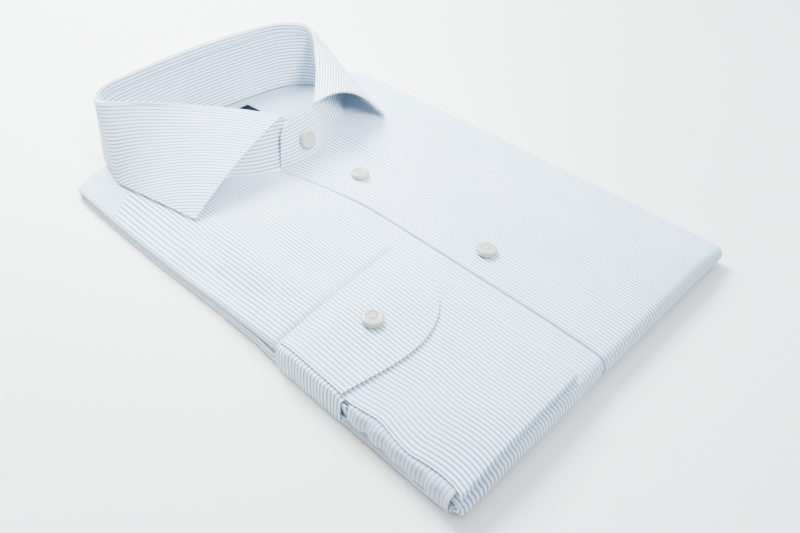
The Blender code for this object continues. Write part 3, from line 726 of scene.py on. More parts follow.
def column(x_of, depth=0.0, sink=0.0):
    """A line of cloth round the stack. Its X depends on Y, and it starts at the X it has there."""
    return Column(x_of, depth, sink, x_of(LAP_TOP_Y), 0.0)


def beside(x, follow=0.0):
    """An X that stays at x, or follows the near side's own line as far as follow says."""
    return lambda y: x + (near_side(y) - SIDE_NEAR_X) * follow


def wrapped_path(line, start_y, fold_y, bend, under_y, top_steps, under_steps):
    """A path on top of the stack, round a cross fold and back underneath."""
    heading = 1 if fold_y > start_y else -1
    centre_y = fold_y - heading * bend
    sink = line.sink * lap_depth(centre_y)
    path = []

    def put(x, y, z, centre):
        path.append(Vector((x, y, z)).lerp(centre, min(MOST_DEPTH, line.depth)))

    for y in spread(start_y, centre_y, top_steps):
        x = line.x_of(y)
        half = stack_height(x, y) / 2
        lift = top_relief(x, y) - line.sink * lap_depth(y)
        put(x, y, 2 * half + lift, Vector((x, y, half)))
    x = line.x_of(centre_y)
    half = stack_height(x, centre_y) / 2
    for step in range(1, BEND_STEPS):
        angle = math.pi * step / BEND_STEPS
        y = centre_y + heading * bend * math.sin(angle)
        press = cuff_press(x, y) if angle < math.pi / 2 else 0.0
        inner = 1 - (sink + press) / half
        y = centre_y + heading * bend * inner * math.sin(angle)
        put(x, y, half + half * inner * math.cos(angle), Vector((x, centre_y, half)))
    for step, y in enumerate(spread(centre_y, under_y, under_steps)):
        x = line.x_of(y) - line.foot * near_foot(y)
        half = stack_height(x, y) / 2
        lift = crease_height(UNDER_CREASES, x, y) * smooth_step(step / under_steps * 4)
        put(x, y, lift + sink, Vector((x, y, half)))
    return path


def dense(places, step):
    """The places, with more between them so that none is further than about step apart."""
    filled = []
    for start, end in zip(places, places[1:]):
        filled += spread(start, end, max(1, round(abs(end - start) / step)))[:-1]
    return filled + [places[-1]]


print("path helpers ready")

# %% [markdown]
# ## The two fronts
# The left front lies on the right one, as on a shirt cut for men. The right front's columns follow
# the near side, then the line of the lap, where they sink under the left front's edge. The left
# front's first columns follow that same edge, so no gap can open between the two.

# %% The two fronts
TOP_STEPS = 200
UNDER_STEPS = 60
FOLLOW_END_X = -96
FOLLOW_REACH = 16
LAP_START_X = -34
LAP_STEPS = (
    (-6, 0.0), (-4.5, 0.1), (-3, 0.75), (-1.5, UNDERLAP_SINK), (5, UNDERLAP_SINK),
    (13, UNDERLAP_SINK), (OVERLAP, UNDERLAP_SINK),
)
EDGE_SHARES = (0, 0.04, 0.1, 0.18, 0.26, 0.34, 0.42, 0.5, 0.58, 0.66, 0.74, 0.82, 0.91)


def front_cloth(name, columns, top):
    grid = [wrapped_path(line, read_table(top, line.top_x), bottom_y(line.top_x), BOTTOM_BEND,
                         HEM_Y, TOP_STEPS, UNDER_STEPS) for line in columns]
    return cloth_shell(name, grid, CLOTH_WALL, shirting)


def make_front_right():
    columns = [Column(beside(x, 1.0), depth, 0.0, x, 1.0)
               for x, depth in side_columns(SIDE_NEAR_X, 1)]
    for x in dense((-112, -109, -103, FOLLOW_END_X), 2.5)[:-1]:
        follow = min(1.0, (FOLLOW_END_X - x) / FOLLOW_REACH)
        columns.append(Column(beside(x, follow), 0.0, 0.0, x, follow))
    fixed = (FOLLOW_END_X, -88, -78, -75.5, -72, -69, -62, -55, -45, LAP_START_X)
    columns += [column(beside(x)) for x in dense(fixed, 3.5)]
    columns += [column(lambda y, share=share: mix(LAP_START_X, edge_x(y) + LAP_STEPS[0][0], share))
                for share in (0.3, 0.6)]
    columns += [column(lambda y, offset=offset: edge_x(y) + offset, sink=sink)
                for offset, sink in LAP_STEPS]
    return paint_shade(front_cloth("front_right_cloth", columns, RIGHT_TOP), front_shade)


def make_front_left():
    columns = [column(lambda y, share=share: mix(edge_x(y), LAP_EVEN_X, share))
               for share in EDGE_SHARES]
    columns += [column(beside(x))
                for x in dense((LAP_EVEN_X, 46, 54, 61, 66, 71, 74, 84, 95, 104, 110), 3.5)]
    columns += [column(beside(x), depth) for x, depth in reversed(side_columns(SIDE_FAR_X, -1))]
    return front_cloth("front_left_cloth", columns, LEFT_TOP)


front_right = dress(make_front_right(), "front_right")
front_left = dress(make_front_left(), "front_left")

# %% [markdown]
# ## The yoke, its inner layer and the label
# The yoke comes over to the front at both shoulders. Inside the neck lies its plain inner layer,
# and on that a blank tape. Each is a grid that is laid on the height of the folded stack.

# %% The yoke, its inner layer and the label
YOKE_PLACES = (
    -109, -103, -96, -88, -78, -76.2, -75, -73.2, -69.5, -63, -50, -35, -12, 12, 30, 45, 56, 63,
    68.5, 71.6, 73, 74.2, 84, 95, 104, 110,
)
YOKE_TOP_STEPS = 14
YOKE_UNDER_STEPS = 10
INNER_START_Y = 88
INNER_BACK_GAP = 3.0
INNER_STEPS = 19
INNER_WALL = 0.9
LABEL_WALL = 0.5
LABEL_LIFT = SEAM_GAP + 1.0 - INNER_DROP
INNER_CREASES = (
    Crease(-50, 150, 20, 158, 4.0, 0.35), Crease(10, 146, 58, 140, 5.0, 0.30),
    Crease(-30, 120, -22, 160, 6.0, -0.35), Crease(34, 110, 40, 160, 5.0, -0.30),
)


def make_yoke():
    columns = side_columns(SIDE_NEAR_X, 1) + [(x, 0.0) for x in dense(YOKE_PLACES, 4.0)]
    columns += reversed(side_columns(SIDE_FAR_X, -1))
    grid = [wrapped_path(column(beside(x), depth), read_table(YOKE_EDGE, x),
                         read_table(SHOULDER_FOLD, x), SHOULDER_BEND, YOKE_BACK_Y,
                         YOKE_TOP_STEPS, YOKE_UNDER_STEPS) for x, depth in columns]
    return cloth_shell("yoke_cloth", grid, CLOTH_WALL, shirting, along=False, flip=True)


def make_inner_yoke():
    grid = []
    for x in dense((-84, -50, 0, 50, 82), 4.0):
        back_y = read_table(SHOULDER_FOLD, x) - SHOULDER_BEND - INNER_BACK_GAP
        grid.append([on_stack(x, y, min(0.0, crease_height(INNER_CREASES, x, y)) - INNER_DROP)
                     for y in spread(INNER_START_Y, back_y, INNER_STEPS)])
    return cloth_shell("inner_yoke_cloth", grid, INNER_WALL, yoke_lining, flip=True)


def make_label():
    (x, y), (width, depth) = LABEL_CENTRE, LABEL_SIZE
    grid = [[on_stack(a, b, LABEL_LIFT) for b in spread(y - depth / 2, y + depth / 2, 7)]
            for a in spread(x - width / 2, x + width / 2, 26)]
    return cloth_shell("neck_label_tape", grid, LABEL_WALL, label_weave, along=False, flip=True)


yoke = dress(make_yoke(), "yoke")
inner_yoke = dress(make_inner_yoke(), "inner_yoke")
neck_label = dress(make_label(), "neck_label")

# %% [markdown]
# ## The hidden layers
# The folded back, the other sleeve and the tails hardly show, so they share one rounded form
# instead of being folded sheet by sheet. Rings at different insets give its edge the look of
# stacked layers.

# %% The hidden layers
CORE_SIDES = 96
CORE_CORNER_POWER = 5.0
CORE_DEEP = SIDE_ROLL + SIDE_RETURN + 2.6
CORE_SHELF = 8.8
CORE_GROOVE = 9.4
CORE_LOW = 2.7
CORE_BELOW_TOP = 3.3
CORE_LAYERS = 2.8
CORE_GAP = 1.0


def core_point(angle, share, inset, level, offset):
    """A place on a rounded rectangle. offset is counted in layers from the middle of its edge."""
    cosine, sine = math.cos(angle), math.sin(angle)
    u = math.copysign(abs(cosine) ** (2 / CORE_CORNER_POWER), cosine) * share
    v = math.copysign(abs(sine) ** (2 / CORE_CORNER_POWER), sine) * share
    x = u * (SIDE_FAR_X - inset)
    low_y = bottom_y(x) + BOTTOM_BEND + CORE_GAP
    high_y = read_curve(SHOULDER_FOLD, x) - SHOULDER_BEND - (inset - CORE_SHELF) / 2 - CORE_GAP
    y = mix(low_y, high_y, (v + 1) / 2)
    if u < 0:
        x = -u * (near_side(y) + inset)
    top = stack_height(x, y) - CORE_BELOW_TOP
    layer = (top - CORE_LOW) / CORE_LAYERS
    ripple = 0.12 * math.sin(5 * angle + 0.7) + 0.08 * math.sin(13 * angle)
    middle = (CORE_LOW + top) / 2 + offset * layer + ripple * (1 - abs(offset))
    return Vector((x, y, {"low": CORE_LOW, "mid": middle, "top": top}[level]))


def make_hidden_layers():
    rings = (
        (CORE_DEEP, "low", 0.0), (CORE_DEEP, "mid", -1.2), (CORE_SHELF, "mid", -1.0),
        (CORE_SHELF - 0.2, "mid", -0.65), (CORE_SHELF, "mid", -0.3), (CORE_GROOVE, "mid", -0.05),
        (CORE_GROOVE, "mid", 0.05), (CORE_SHELF, "mid", 0.3), (CORE_SHELF - 0.2, "mid", 0.65),
        (CORE_SHELF, "mid", 1.0), (CORE_DEEP, "mid", 1.2), (CORE_DEEP, "top", 0.0),
    )
    shares = (0.02, 0.2, 0.4, 0.6, 0.8, 0.92)
    loops = [(share, rings[0]) for share in shares] + [(1.0, row) for row in rings]
    loops += [(share, rings[-1]) for share in reversed(shares)]
    work = bmesh.new()
    layer = work.loops.layers.uv.new("UVMap")
    angles = [2 * math.pi * (k + 0.5) / CORE_SIDES for k in range(CORE_SIDES)]
    made = [[work.verts.new(core_point(angle, share, *row) * MM) for angle in angles]
            for share, row in loops]
    for lower, upper in zip(made, made[1:]):
        for k in range(CORE_SIDES):
            after = (k + 1) % CORE_SIDES
            work.faces.new((lower[k], lower[after], upper[after], upper[k]))
    work.faces.new(list(reversed(made[0])))
    work.faces.new(made[-1])
    for face in work.faces:
        face.smooth = True
        for loop in face.loops:
            place = loop.vert.co
            loop[layer].uv = (place.x, place.y + place.z)
    thing = bmesh_object("hidden_layers_cloth", work, shirting)
    thing.data.set_sharp_from_angle(angle=SHARP_ANGLE)
    return thing


hidden_layers = dress(make_hidden_layers(), "hidden_layers")

# %% [markdown]
# ## The collar
# The collar is a standing band and a leaf that turns down over it. Each row of the table is one
# section of both: the band's foot, the fold line and the leaf's outer edge. A smooth curve through
# the rows gives the sections in between, which is easier to steer than a sculpted mesh.

# %% The collar
ROLL_STEPS = 12
LEAF_STEPS = 26
BAND_STEPS = 12
LAP_SHARES = (0, 0.33, 0.66)
FOLD_INDEX = len(LAP_SHARES) + ROLL_STEPS * 90 // ROLL_END


def spline_point(rows, k, t):
    """The point a share t past row k, on a smooth curve through all the rows."""
    around = rows[max(k - 1, 0)], rows[k], rows[k + 1], rows[min(k + 2, len(rows) - 1)]
    return [0.5 * (2 * b + (c - a) * t + (2 * a - 5 * b + 4 * c - d) * t * t
                   + (3 * b - a - 3 * c + d) * t ** 3) for a, b, c, d in zip(*around)]


def spline_rows(rows, steps):
    smooth = [type(rows[0])(*spline_point(rows, k, step / steps))
              for k in range(len(rows) - 1) for step in range(steps)]
    return smooth + [rows[-1]]


def collar_lap(row):
    """How far the leaf reaches down inside the fold, where it is sewn to the band."""
    return FOLD_ROLL + max(row.lap - FOLD_ROLL, COLLAR_LEAST_LAP)


def collar_section(row):
    """Foot, fold and edge of one section, with the directions up the band and out to the leaf."""
    foot = on_stack(row.seam_x, row.seam_y, SEAM_GAP)
    fold = Vector((row.fold_x, row.fold_y, row.fold_z))
    edge = on_stack(row.edge_x, row.edge_y, row.lift)
    up = (fold - foot).normalized()
    reach = edge - fold
    out = (reach - up * reach.dot(up)).normalized()
    return foot, fold, edge, up, out


def leaf_section(row):
    """Points of one leaf section, from inside the fold over it to the free edge."""
    fold, edge, up, out = collar_section(row)[1:]
    centre = fold - up * FOLD_ROLL
    lap_end = fold - up * collar_lap(row)
    section = [lap_end.lerp(centre, share) for share in LAP_SHARES]
    for angle in spread(0, math.radians(ROLL_END), ROLL_STEPS):
        turn = out * (1 - math.cos(angle)) + up * math.sin(angle)
        section.append(centre + turn * FOLD_ROLL)
    start = section[-1]
    bulge = start.lerp(edge, 0.5) + Vector((0, 0, 2 * row.arch))
    for t in spread(0, 1, LEAF_STEPS)[1:]:
        section.append(start * (1 - t) ** 2 + bulge * 2 * t * (1 - t) + edge * t * t)
    return section


COLLAR_ROWS = spline_rows(COLLAR, STATION_STEPS)


def make_collar_leaf():
    grid = [leaf_section(row) for row in COLLAR_ROWS]
    along = running_length([section[FOLD_INDEX] for section in grid])
    uv = []
    for a, section in zip(along, grid):
        lengths = running_length(section)
        uv.append([((length - lengths[FOLD_INDEX]) * MM, a * MM) for length in lengths])
    return cloth_shell("collar_leaf_cloth", grid, COLLAR_WALL, pressed_shirting, flip=True, uv=uv)


def band_sections():
    """Foot and top of the band, from its right end round the back to its left end."""
    def plain(end):
        return on_stack(end.seam_x, end.seam_y, SEAM_GAP), Vector((end.top_x, end.top_y, end.top_z))

    sections = [plain(end) for end in spline_rows(BAND_UNDER_END, 3)]
    for row in COLLAR_ROWS:
        foot, fold, edge, up, out = collar_section(row)
        sections.append((foot, fold - up * (collar_lap(row) + SEAM_GAP)))
    return sections + [plain(end) for end in spline_rows(BAND_OVER_END, STATION_STEPS)]


def make_collar_band():
    grid = [[foot.lerp(top, share) for share in spread(0, 1, BAND_STEPS)]
            for foot, top in band_sections()]
    return cloth_shell(
        "collar_band_cloth", grid, COLLAR_WALL, pressed_shirting, along=False, flip=True)


collar_leaf = dress(make_collar_leaf(), "collar_leaf")
collar_band = dress(make_collar_band(), "collar_band")

# %% [markdown]
# ## The cuff
# The cuff is a flattened tube whose rounded end laps over its own other end, where it is buttoned.
# One path round the tube, from the covered end to the rounded one, is made for each place between
# its hand edge and its sleeve edge. The sleeve edge is a little wavy, as the pleats pull at it.

# %% The cuff


def cuff_x(share, y):
    along = (y - CUFF_HAND_BOTTOM[1]) / (CUFF_HAND_TOP[1] - CUFF_HAND_BOTTOM[1])
    hand = mix(CUFF_HAND_BOTTOM[0], CUFF_HAND_TOP[0], along)
    sleeve = mix(CUFF_SLEEVE_BOTTOM[0], CUFF_SLEEVE_TOP[0], along) + read_curve(CUFF_EDGE_WAVE, y)
    return mix(hand, sleeve, share)


CUFF_LOW = SEAM_GAP
CUFF_UNDER = 2 * CUFF_WALL + 2 * SEAM_GAP
CUFF_OVER = 3 * CUFF_WALL + 3 * SEAM_GAP


def cuff_path(share):
    radius = (CUFF_UNDER - CUFF_LOW) / 2
    middle = (CUFF_LOW + CUFF_UNDER) / 2
    turns = spread(0, math.pi, 8)[1:-1]
    upper_y, lower_y = cuff_folds(share)
    upper_y -= radius
    lower_y += radius
    step_start = CUFF_STEP_Y + CUFF_STEP_LENGTH
    step_foot = CUFF_UNDER + SEAM_GAP / 2
    places = [(y, CUFF_UNDER) for y in spread(CUFF_UNDER_END_Y, lower_y, 20)]
    places += [(lower_y - radius * math.sin(turn), middle + radius * math.cos(turn))
               for turn in turns]
    places += [(y, CUFF_LOW) for y in spread(lower_y, upper_y, 24)]
    places += [(upper_y + radius * math.sin(turn), middle - radius * math.cos(turn))
               for turn in turns]
    places += [(y, step_foot) for y in spread(upper_y, step_start, 3)]
    places += [(mix(step_start, CUFF_STEP_Y, k), mix(step_foot, CUFF_OVER, smooth_step(k)))
               for k in (0.25, 0.5, 0.75, 1)]
    over_end = read_curve(CUFF_OVER_END, share)
    places += [(y, CUFF_OVER) for y in spread(CUFF_STEP_Y, over_end, 12)[1:]]
    return [on_stack(cuff_x(share, y), y, lift) for y, lift in places]


def make_cuff():
    shares = [0, 0.01, 0.02, 0.035, 0.05, 0.075, 0.1, 0.125, 0.15, 0.19, 0.23, 0.28]
    grid = [cuff_path(share) for share in shares + spread(0.33, 1, 20)]
    return cloth_shell("cuff_cloth", grid, CUFF_CLOTH, pressed_shirting, flip=True)


cuff = dress(make_cuff(), "cuff")

# %% [markdown]
# ## The sleeve and its placket
# The sleeve comes out of the cuff at the near side in small uneven pleats, and has a slit with a
# bound edge. Each row of the table is the top or the foot of a pleat. A curve through the rows
# makes them round, and the slit is a row of quads that is left open.

# %% The sleeve and its placket
SLEEVE_WALL = 0.7
PLACKET_WALL = 0.8
LAST_OPEN_QUAD = 20
SLIT_CLEAR = 0.9
PALE_SHADE = 0.15
DARK_SHADE = 0.65


def sleeve_section(row):
    """One pleat's path, from under the cuff over the side and down to where it is tucked in."""
    y = row.place
    side = near_side(y)
    stack = stack_height(side, y)
    start_x = cuff_x(1.0, y) - SLEEVE_START
    over = smooth_step((CUFF_STEP_Y + CUFF_STEP_LENGTH - y) / CUFF_STEP_LENGTH)
    over *= smooth_step((y - CUFF_OVER_END[-1][1] + 0.5) / 3.5)
    crown = stack_height(start_x, y) + CUFF_UNDER + (CUFF_OVER - CUFF_UNDER - 0.2) * over
    out_x = side - row.out
    low = row.low
    tuck_z = max(stack / 2 - 0.1, low + 1.6)
    places = (
        (start_x + 2.6, crown - 1.25), (start_x + 0.6, crown - 1.1),
        (mix(start_x, out_x, 0.35), crown - 0.8), (mix(start_x, out_x, 0.7), crown - 1.5),
        (out_x + 0.3, crown - 3.0), (out_x - 0.2, mix(low, crown, 0.5)), (out_x, low + 1.3),
        (out_x + 0.4, low + 0.35), (out_x + 1.3, low), (out_x + 2.2, low + 0.4),
        (side - 0.4, mix(low + 0.5, tuck_z, 0.5)), (side + 0.1, tuck_z), (side + 3.2, tuck_z + 0.4),
    )
    smooth = [spline_point(places, k, t) for k in range(len(places) - 1) for t in (0, 0.33, 0.66)]
    return [Vector((x, y, z)) for x, z in smooth + [places[-1]]]


def sleeve_shade(x, y, z):
    """Painted shade: the sleeve's pleats grow darker from the slit to the near corner."""
    return mix(PALE_SHADE, DARK_SHADE, smooth_step((SLEEVE_SLIT_Y - y) / 8))


def make_sleeve():
    low_y = SLEEVE_SLIT_Y - SLEEVE_SLIT_WIDTH / 2
    high_y = SLEEVE_SLIT_Y + SLEEVE_SLIT_WIDTH / 2
    rows = [row for row in spline_rows(SLEEVE_ROWS, 4)
            if min(abs(row.place - low_y), abs(row.place - high_y)) > SLIT_CLEAR]
    before = [row for row in rows if row.place > high_y]
    inside = [row for row in rows if low_y < row.place < high_y]
    after = [row for row in rows if row.place < low_y]
    rows = (before + [before[-1]._replace(place=high_y)] + inside
            + [after[0]._replace(place=low_y)] + after)
    grid = [sleeve_section(row) for row in rows]
    skip = {(i, j) for i in range(len(before), len(before) + 1 + len(inside))
            for j in range(LAST_OPEN_QUAD + 1)
            if max(grid[i][j].z, grid[i][j + 1].z) > SLEEVE_SLIT_FOOT}
    cloth = cloth_shell("sleeve_cloth", grid, SLEEVE_WALL, shirting, even=False, skip=skip)
    return paint_shade(cloth, sleeve_shade)


def make_placket():
    y = SLEEVE_SLIT_Y
    side = near_side(y)
    top = stack_height(side, y) + 1.6
    section = ((0, 1.0), (0.2, 0.5), (0.25, 0), (0.2, -0.5), (0, -1.0))
    grid = []
    for share in spread(0, 1, 12):
        z = mix(top, SLEEVE_SLIT_FOOT + 4.6, share)
        x = side - 1.7 - 1.3 * math.sin(math.pi * min(share + 0.25, 1.0))
        grid.append([Vector((x - out, y + along, z)) for out, along in section])
    return cloth_shell(
        "sleeve_placket_cloth", grid, PLACKET_WALL, shirting, along=False, flip=True)


sleeve = dress(make_sleeve(), "sleeve")
sleeve_placket = dress(make_placket(), "sleeve_placket")

# %% [markdown]
# ## Buttons
# A button is a turned profile with a rim and a dished middle. Its four holes are cut with a
# Boolean, which keeps their edges crisp, and two pairs of short threads cross its middle.

# %% Buttons
RIM_HEIGHT = 0.42
TURN_STEPS = 56
HOLE_RADIUS = 0.62
HOLE_OFFSET = 1.25
HOLE_DEPTH = 9.0
BUTTON_THREAD_RADIUS = 0.2
BUTTON_THREAD_REACH = 0.98
BUTTON_THREAD_DEEP = 0.7
BUTTON_THREAD_ASIDE = 0.2
BAND_FACE_GAP = 1.2
TUBE_SIDES = 6
TUBE_STEPS = 6


def surface_normal(x, y):
    slope_x = (stack_height(x + 1, y) - stack_height(x - 1, y)) / 2
    slope_y = (stack_height(x, y + 1) - stack_height(x, y - 1)) / 2
    return Vector((-slope_x, -slope_y, 1)).normalized()


def turned_mesh(name, profile, steps):
    """The profile, turned once round the Z axis."""
    mesh = bpy.data.meshes.new(name)
    mesh.from_pydata([(r * MM, 0.0, z * MM) for r, z in profile],
                     [(k, k + 1) for k in range(len(profile) - 1)], [])
    thing = put_in_scene(name, mesh)
    turn = thing.modifiers.new("turn", "SCREW")
    turn.steps = steps
    turn.render_steps = steps
    turn.use_merge_vertices = True
    turn.merge_threshold = 0.00002
    turn.use_smooth_shade = True
    return plain_mesh(thing)


def thread_loop(work, start, end, radius, rise):
    """A stitch as a bent tube from one point to another, arched by rise."""
    side = (end - start).normalized().cross(Vector((0, 0, 1))).normalized()
    rings = []
    for t in spread(0, 1, TUBE_STEPS):
        centre = start.lerp(end, t) + Vector((0, 0, rise * math.sin(math.pi * t)))
        ring = []
        for k in range(TUBE_SIDES):
            angle = 2 * math.pi * k / TUBE_SIDES
            up = Vector((0, 0, radius * math.sin(angle)))
            ring.append(work.verts.new((centre + side * radius * math.cos(angle) + up) * MM))
        rings.append(ring)
    for lower, upper in zip(rings, rings[1:]):
        for k in range(TUBE_SIDES):
            after = (k + 1) % TUBE_SIDES
            work.faces.new((lower[k], upper[k], upper[after], lower[after])).smooth = True
    work.faces.new(rings[0])
    work.faces.new(list(reversed(rings[-1])))


def button_profile():
    """Radius and height of the turned outline, from the dished middle over the rim to the back."""
    half, outer = BUTTON_THICKNESS / 2, BUTTON_RADIUS
    rim = half - RIM_HEIGHT
    profile = [(0.0, half - 0.5), (0.3 * outer, half - 0.48), (0.5 * outer, half - 0.4)]
    for share in spread(0, 1, 8):
        angle = math.pi * share
        profile.append(((0.74 - 0.17 * math.cos(angle) + 0.02 * share) * outer,
                        rim + RIM_HEIGHT * math.sin(angle) ** 0.8 - 0.12 * share))
    return profile + [
        (outer, 0.25 * half), (outer, -0.1 * half), (0.97 * outer, -0.5 * half),
        (0.86 * outer, -0.85 * half), (0.6 * outer, -half), (0.0, -half)]


def cut_holes(button):
    """Takes four round pins out of the button."""
    work = bmesh.new()
    for index in range(4):
        angle = math.pi / 4 + index * math.pi / 2
        made = bmesh.ops.create_cone(
            work, cap_ends=True, segments=16, radius1=HOLE_RADIUS * MM, radius2=HOLE_RADIUS * MM,
            depth=HOLE_DEPTH * MM)
        shift = Vector((math.cos(angle), math.sin(angle), 0)) * HOLE_OFFSET * MM
        bmesh.ops.translate(work, verts=made["verts"], vec=shift)
    cutter = bmesh_object("holes", work)
    cut = button.modifiers.new("holes", "BOOLEAN")
    cut.operation = "DIFFERENCE"
    cut.solver = "EXACT"
    cut.object = cutter
    plain_mesh(button)
    bpy.data.objects.remove(cutter, do_unlink=True)


def make_button(node, centre, normal, turn):
    """A pearl button with rounded rim, and the thread in its holes as a child piece."""
    button = turned_mesh(node + "_pearl", button_profile(), TURN_STEPS)
    cut_holes(button)
    button.data.materials.clear()
    button.data.materials.append(pearl)
    button.data.set_sharp_from_angle(angle=BUTTON_SHARP_ANGLE)

    work = bmesh.new()
    reach, low = BUTTON_THREAD_REACH, BUTTON_THICKNESS / 2 - BUTTON_THREAD_DEEP
    for lean, rise in ((1, 0.50), (-1, 0.72)):
        for shift in (-BUTTON_THREAD_ASIDE, BUTTON_THREAD_ASIDE):
            aside = Vector((-lean * shift, shift, 0))
            thread_loop(work, Vector((-reach, -reach * lean, low)) + aside,
                        Vector((reach, reach * lean, low)) + aside, BUTTON_THREAD_RADIUS, rise)
    thread = bmesh_object(node + "_thread", work, sewing_thread)

    facing = normal.normalized().to_track_quat("Z", "X").to_matrix().to_4x4()
    place = Matrix.Translation(centre * MM) @ facing @ Matrix.Rotation(math.radians(turn), 4, "Z")
    for thing in (button, thread):
        thing.data.transform(place)
        thing.data.update()
    thread.parent = button
    return dress(button, node)


def make_buttons():
    """Two buttons on the front, one on the cuff and one on the upright collar band."""
    rise = BUTTON_THICKNESS / 2 + SEAM_GAP
    made = []
    on_top = [(*row, 0.0, turn) for row, turn in zip(FRONT_BUTTONS, (8, -12))]
    for name, x, y, lift, turn in on_top + [("button_cuff", *CUFF_BUTTON, CUFF_OVER, 20)]:
        normal = surface_normal(x, y)
        made.append(make_button(name, on_stack(x, y, lift) + normal * rise, normal, turn))
    x, share = BAND_BUTTON
    end = BAND_OVER_END[0]
    foot = on_stack(end.seam_x, end.seam_y, SEAM_GAP)
    top = Vector((end.top_x, end.top_y, end.top_z))
    up = (top - foot).normalized()
    face = (Vector((0, -1, 0)) + up * up.y).normalized()
    place = foot.lerp(top, share)
    place.x = x
    centre = place + face * (BAND_FACE_GAP + SEAM_GAP + rise)
    made.append(make_button("button_band", centre, face, 5))
    return made


buttons = make_buttons()

# %% [markdown]
# ## Stitches
# One Geometry Nodes tree lays a row of stitches along any line: it spaces points evenly, puts a
# small thread on each, and turns it along the line. We run it once for each seam. Flow builds this
# tree as well, because its nodes are linked in the same way.

# %% Stitches
SEAM_THREAD = (2.0, 1.4, 0.13)
FINE_THREAD = (2.0, 1.4, 0.12)
HOLE_THREAD = (0.42, 0.5, 0.2)
STITCH_LIFT = 0.08
LOW_LIFT = 0.05
LEAF_INSET = 5.5
YOKE_INSET = 1.5
CUFF_INSET = 1.6
CUFF_DEPTH = 84
CUFF_LINE_ENDS = (CUFF_SLEEVE_BOTTOM[1] + 4, -86)
BAND_SEAM_SHARE = 0.055
BAND_TOP_SHARE = 0.9
BAND_MIDDLE = (0.0, 125.0, 0.0)
BAND_LIFT = 0.1
LINE_STEPS = 24
HOLE_HALF_WIDTH = 0.55
HOLE_BAR = 0.9
FRONT_HOLE_REACH = 7.4
CUFF_HOLE_REACH = 7.6


def stitch_tree():
    tree = bpy.data.node_groups.new("stitch_row", "GeometryNodeTree")
    face = tree.interface
    for name, kind in (("Line", "Geometry"), ("Spacing", "Float"), ("Thread Length", "Float"),
                       ("Thread Radius", "Float"), ("Thread", "Material")):
        face.new_socket(name, in_out="INPUT", socket_type="NodeSocket" + kind)
    face.new_socket("Stitches", in_out="OUTPUT", socket_type="NodeSocketGeometry")
    flow = Flow(tree)
    line, spacing, length, radius, thread = [
        flow.make("NodeGroupInput", output=index) for index in range(5)]
    curve = flow.make("GeometryNodeMeshToCurve", {0: line})
    points = flow.make(
        "GeometryNodeCurveToPoints", {"Curve": curve, "Length": spacing}, mode="LENGTH")
    tangent = Flow(tree, points.socket.node.outputs["Tangent"])
    ball = flow.make("GeometryNodeMeshIcoSphere", {"Radius": 1.0, "Subdivisions": 2})
    turn = flow.make("FunctionNodeAlignRotationToVector", {"Vector": tangent}, axis="Z")
    size = flow.make("ShaderNodeCombineXYZ", {0: radius, 1: radius, 2: length * 0.5})
    stitches = flow.make(
        "GeometryNodeInstanceOnPoints",
        {"Points": points, "Instance": ball, "Rotation": turn, "Scale": size})
    real = flow.make("GeometryNodeRealizeInstances", {0: stitches})
    painted = flow.make("GeometryNodeSetMaterial", {"Geometry": real, "Material": thread})
    tree.links.new(painted.socket, tree.nodes.new("NodeGroupOutput").inputs[0])
    return tree


STITCH_TREE = stitch_tree()


def sew(name, lines, carrier, thread):
    """Rows of stitches along lines of points in millimetres, as one piece on its carrier."""
    spacing, length, radius = thread
    points, edges = [], []
    for line in lines:
        first = len(points)
        points += [tuple(point * MM) for point in line]
        edges += [(k, k + 1) for k in range(first, len(points) - 1)]
    mesh = bpy.data.meshes.new(name)
    mesh.from_pydata(points, edges, [])
    thing = put_in_scene(name, mesh)
    rows = thing.modifiers.new("stitches", "NODES")
    rows.node_group = STITCH_TREE
    values = {"Spacing": spacing * MM, "Thread Length": length * MM, "Thread Radius": radius * MM,
              "Thread": sewing_thread}
    for item in STITCH_TREE.interface.items_tree:
        if item.item_type == "SOCKET" and item.name in values:
            rows[item.identifier] = values[item.name]
    plain_mesh(thing)
    for face in thing.data.polygons:
        face.use_smooth = True
    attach(thing, "root")
    print(f"{name}: {triangle_count(thing)} triangles on {carrier.name}")
    return thing


def leaf_line(inset):
    """A line on the leaf, one inset from its free edges."""
    grid = [leaf_section(row) for row in COLLAR_ROWS]

    def inside(section, distance):
        total = 0.0
        for k in range(len(section) - 1, 0, -1):
            step = (section[k] - section[k - 1]).length
            if total + step >= distance:
                return section[k].lerp(section[k - 1], (distance - total) / step)
            total += step
        return section[0]

    def end_line(first, second):
        line = []
        for k in range(FOLD_INDEX, len(first) - 2):
            point = first[k] + (second[k] - first[k]).normalized() * inset
            if (first[-1] - point).length > inset * 1.3:
                line.append(point)
        return line

    edge = [inside(section, inset) for section in grid[3:-3]]
    whole = end_line(grid[0], grid[4]) + edge + end_line(grid[-1], grid[-5])[::-1]
    return [point + Vector((0, 0, STITCH_LIFT)) for point in whole]


def band_line(share, first, last):
    """A line round the band's outer face, at one share of its height."""
    sections = band_sections()[first:last]
    line = []
    for k, (foot, top) in enumerate(sections):
        before, after = sections[max(k - 1, 0)], sections[min(k + 1, len(sections) - 1)]
        out = (after[0] - before[0]).cross(top - foot).normalized()
        if out.dot(foot - Vector(BAND_MIDDLE)) < 0:
            out = -out
        line.append(foot.lerp(top, share) + out * BAND_LIFT)
    return line


def seam_line(edge, low_x, high_x, inset):
    """A line on the yoke beside its front seam."""
    return [on_stack(x, read_table(edge, x) + inset, STITCH_LIFT)
            for x in spread(low_x, high_x, LINE_STEPS)]


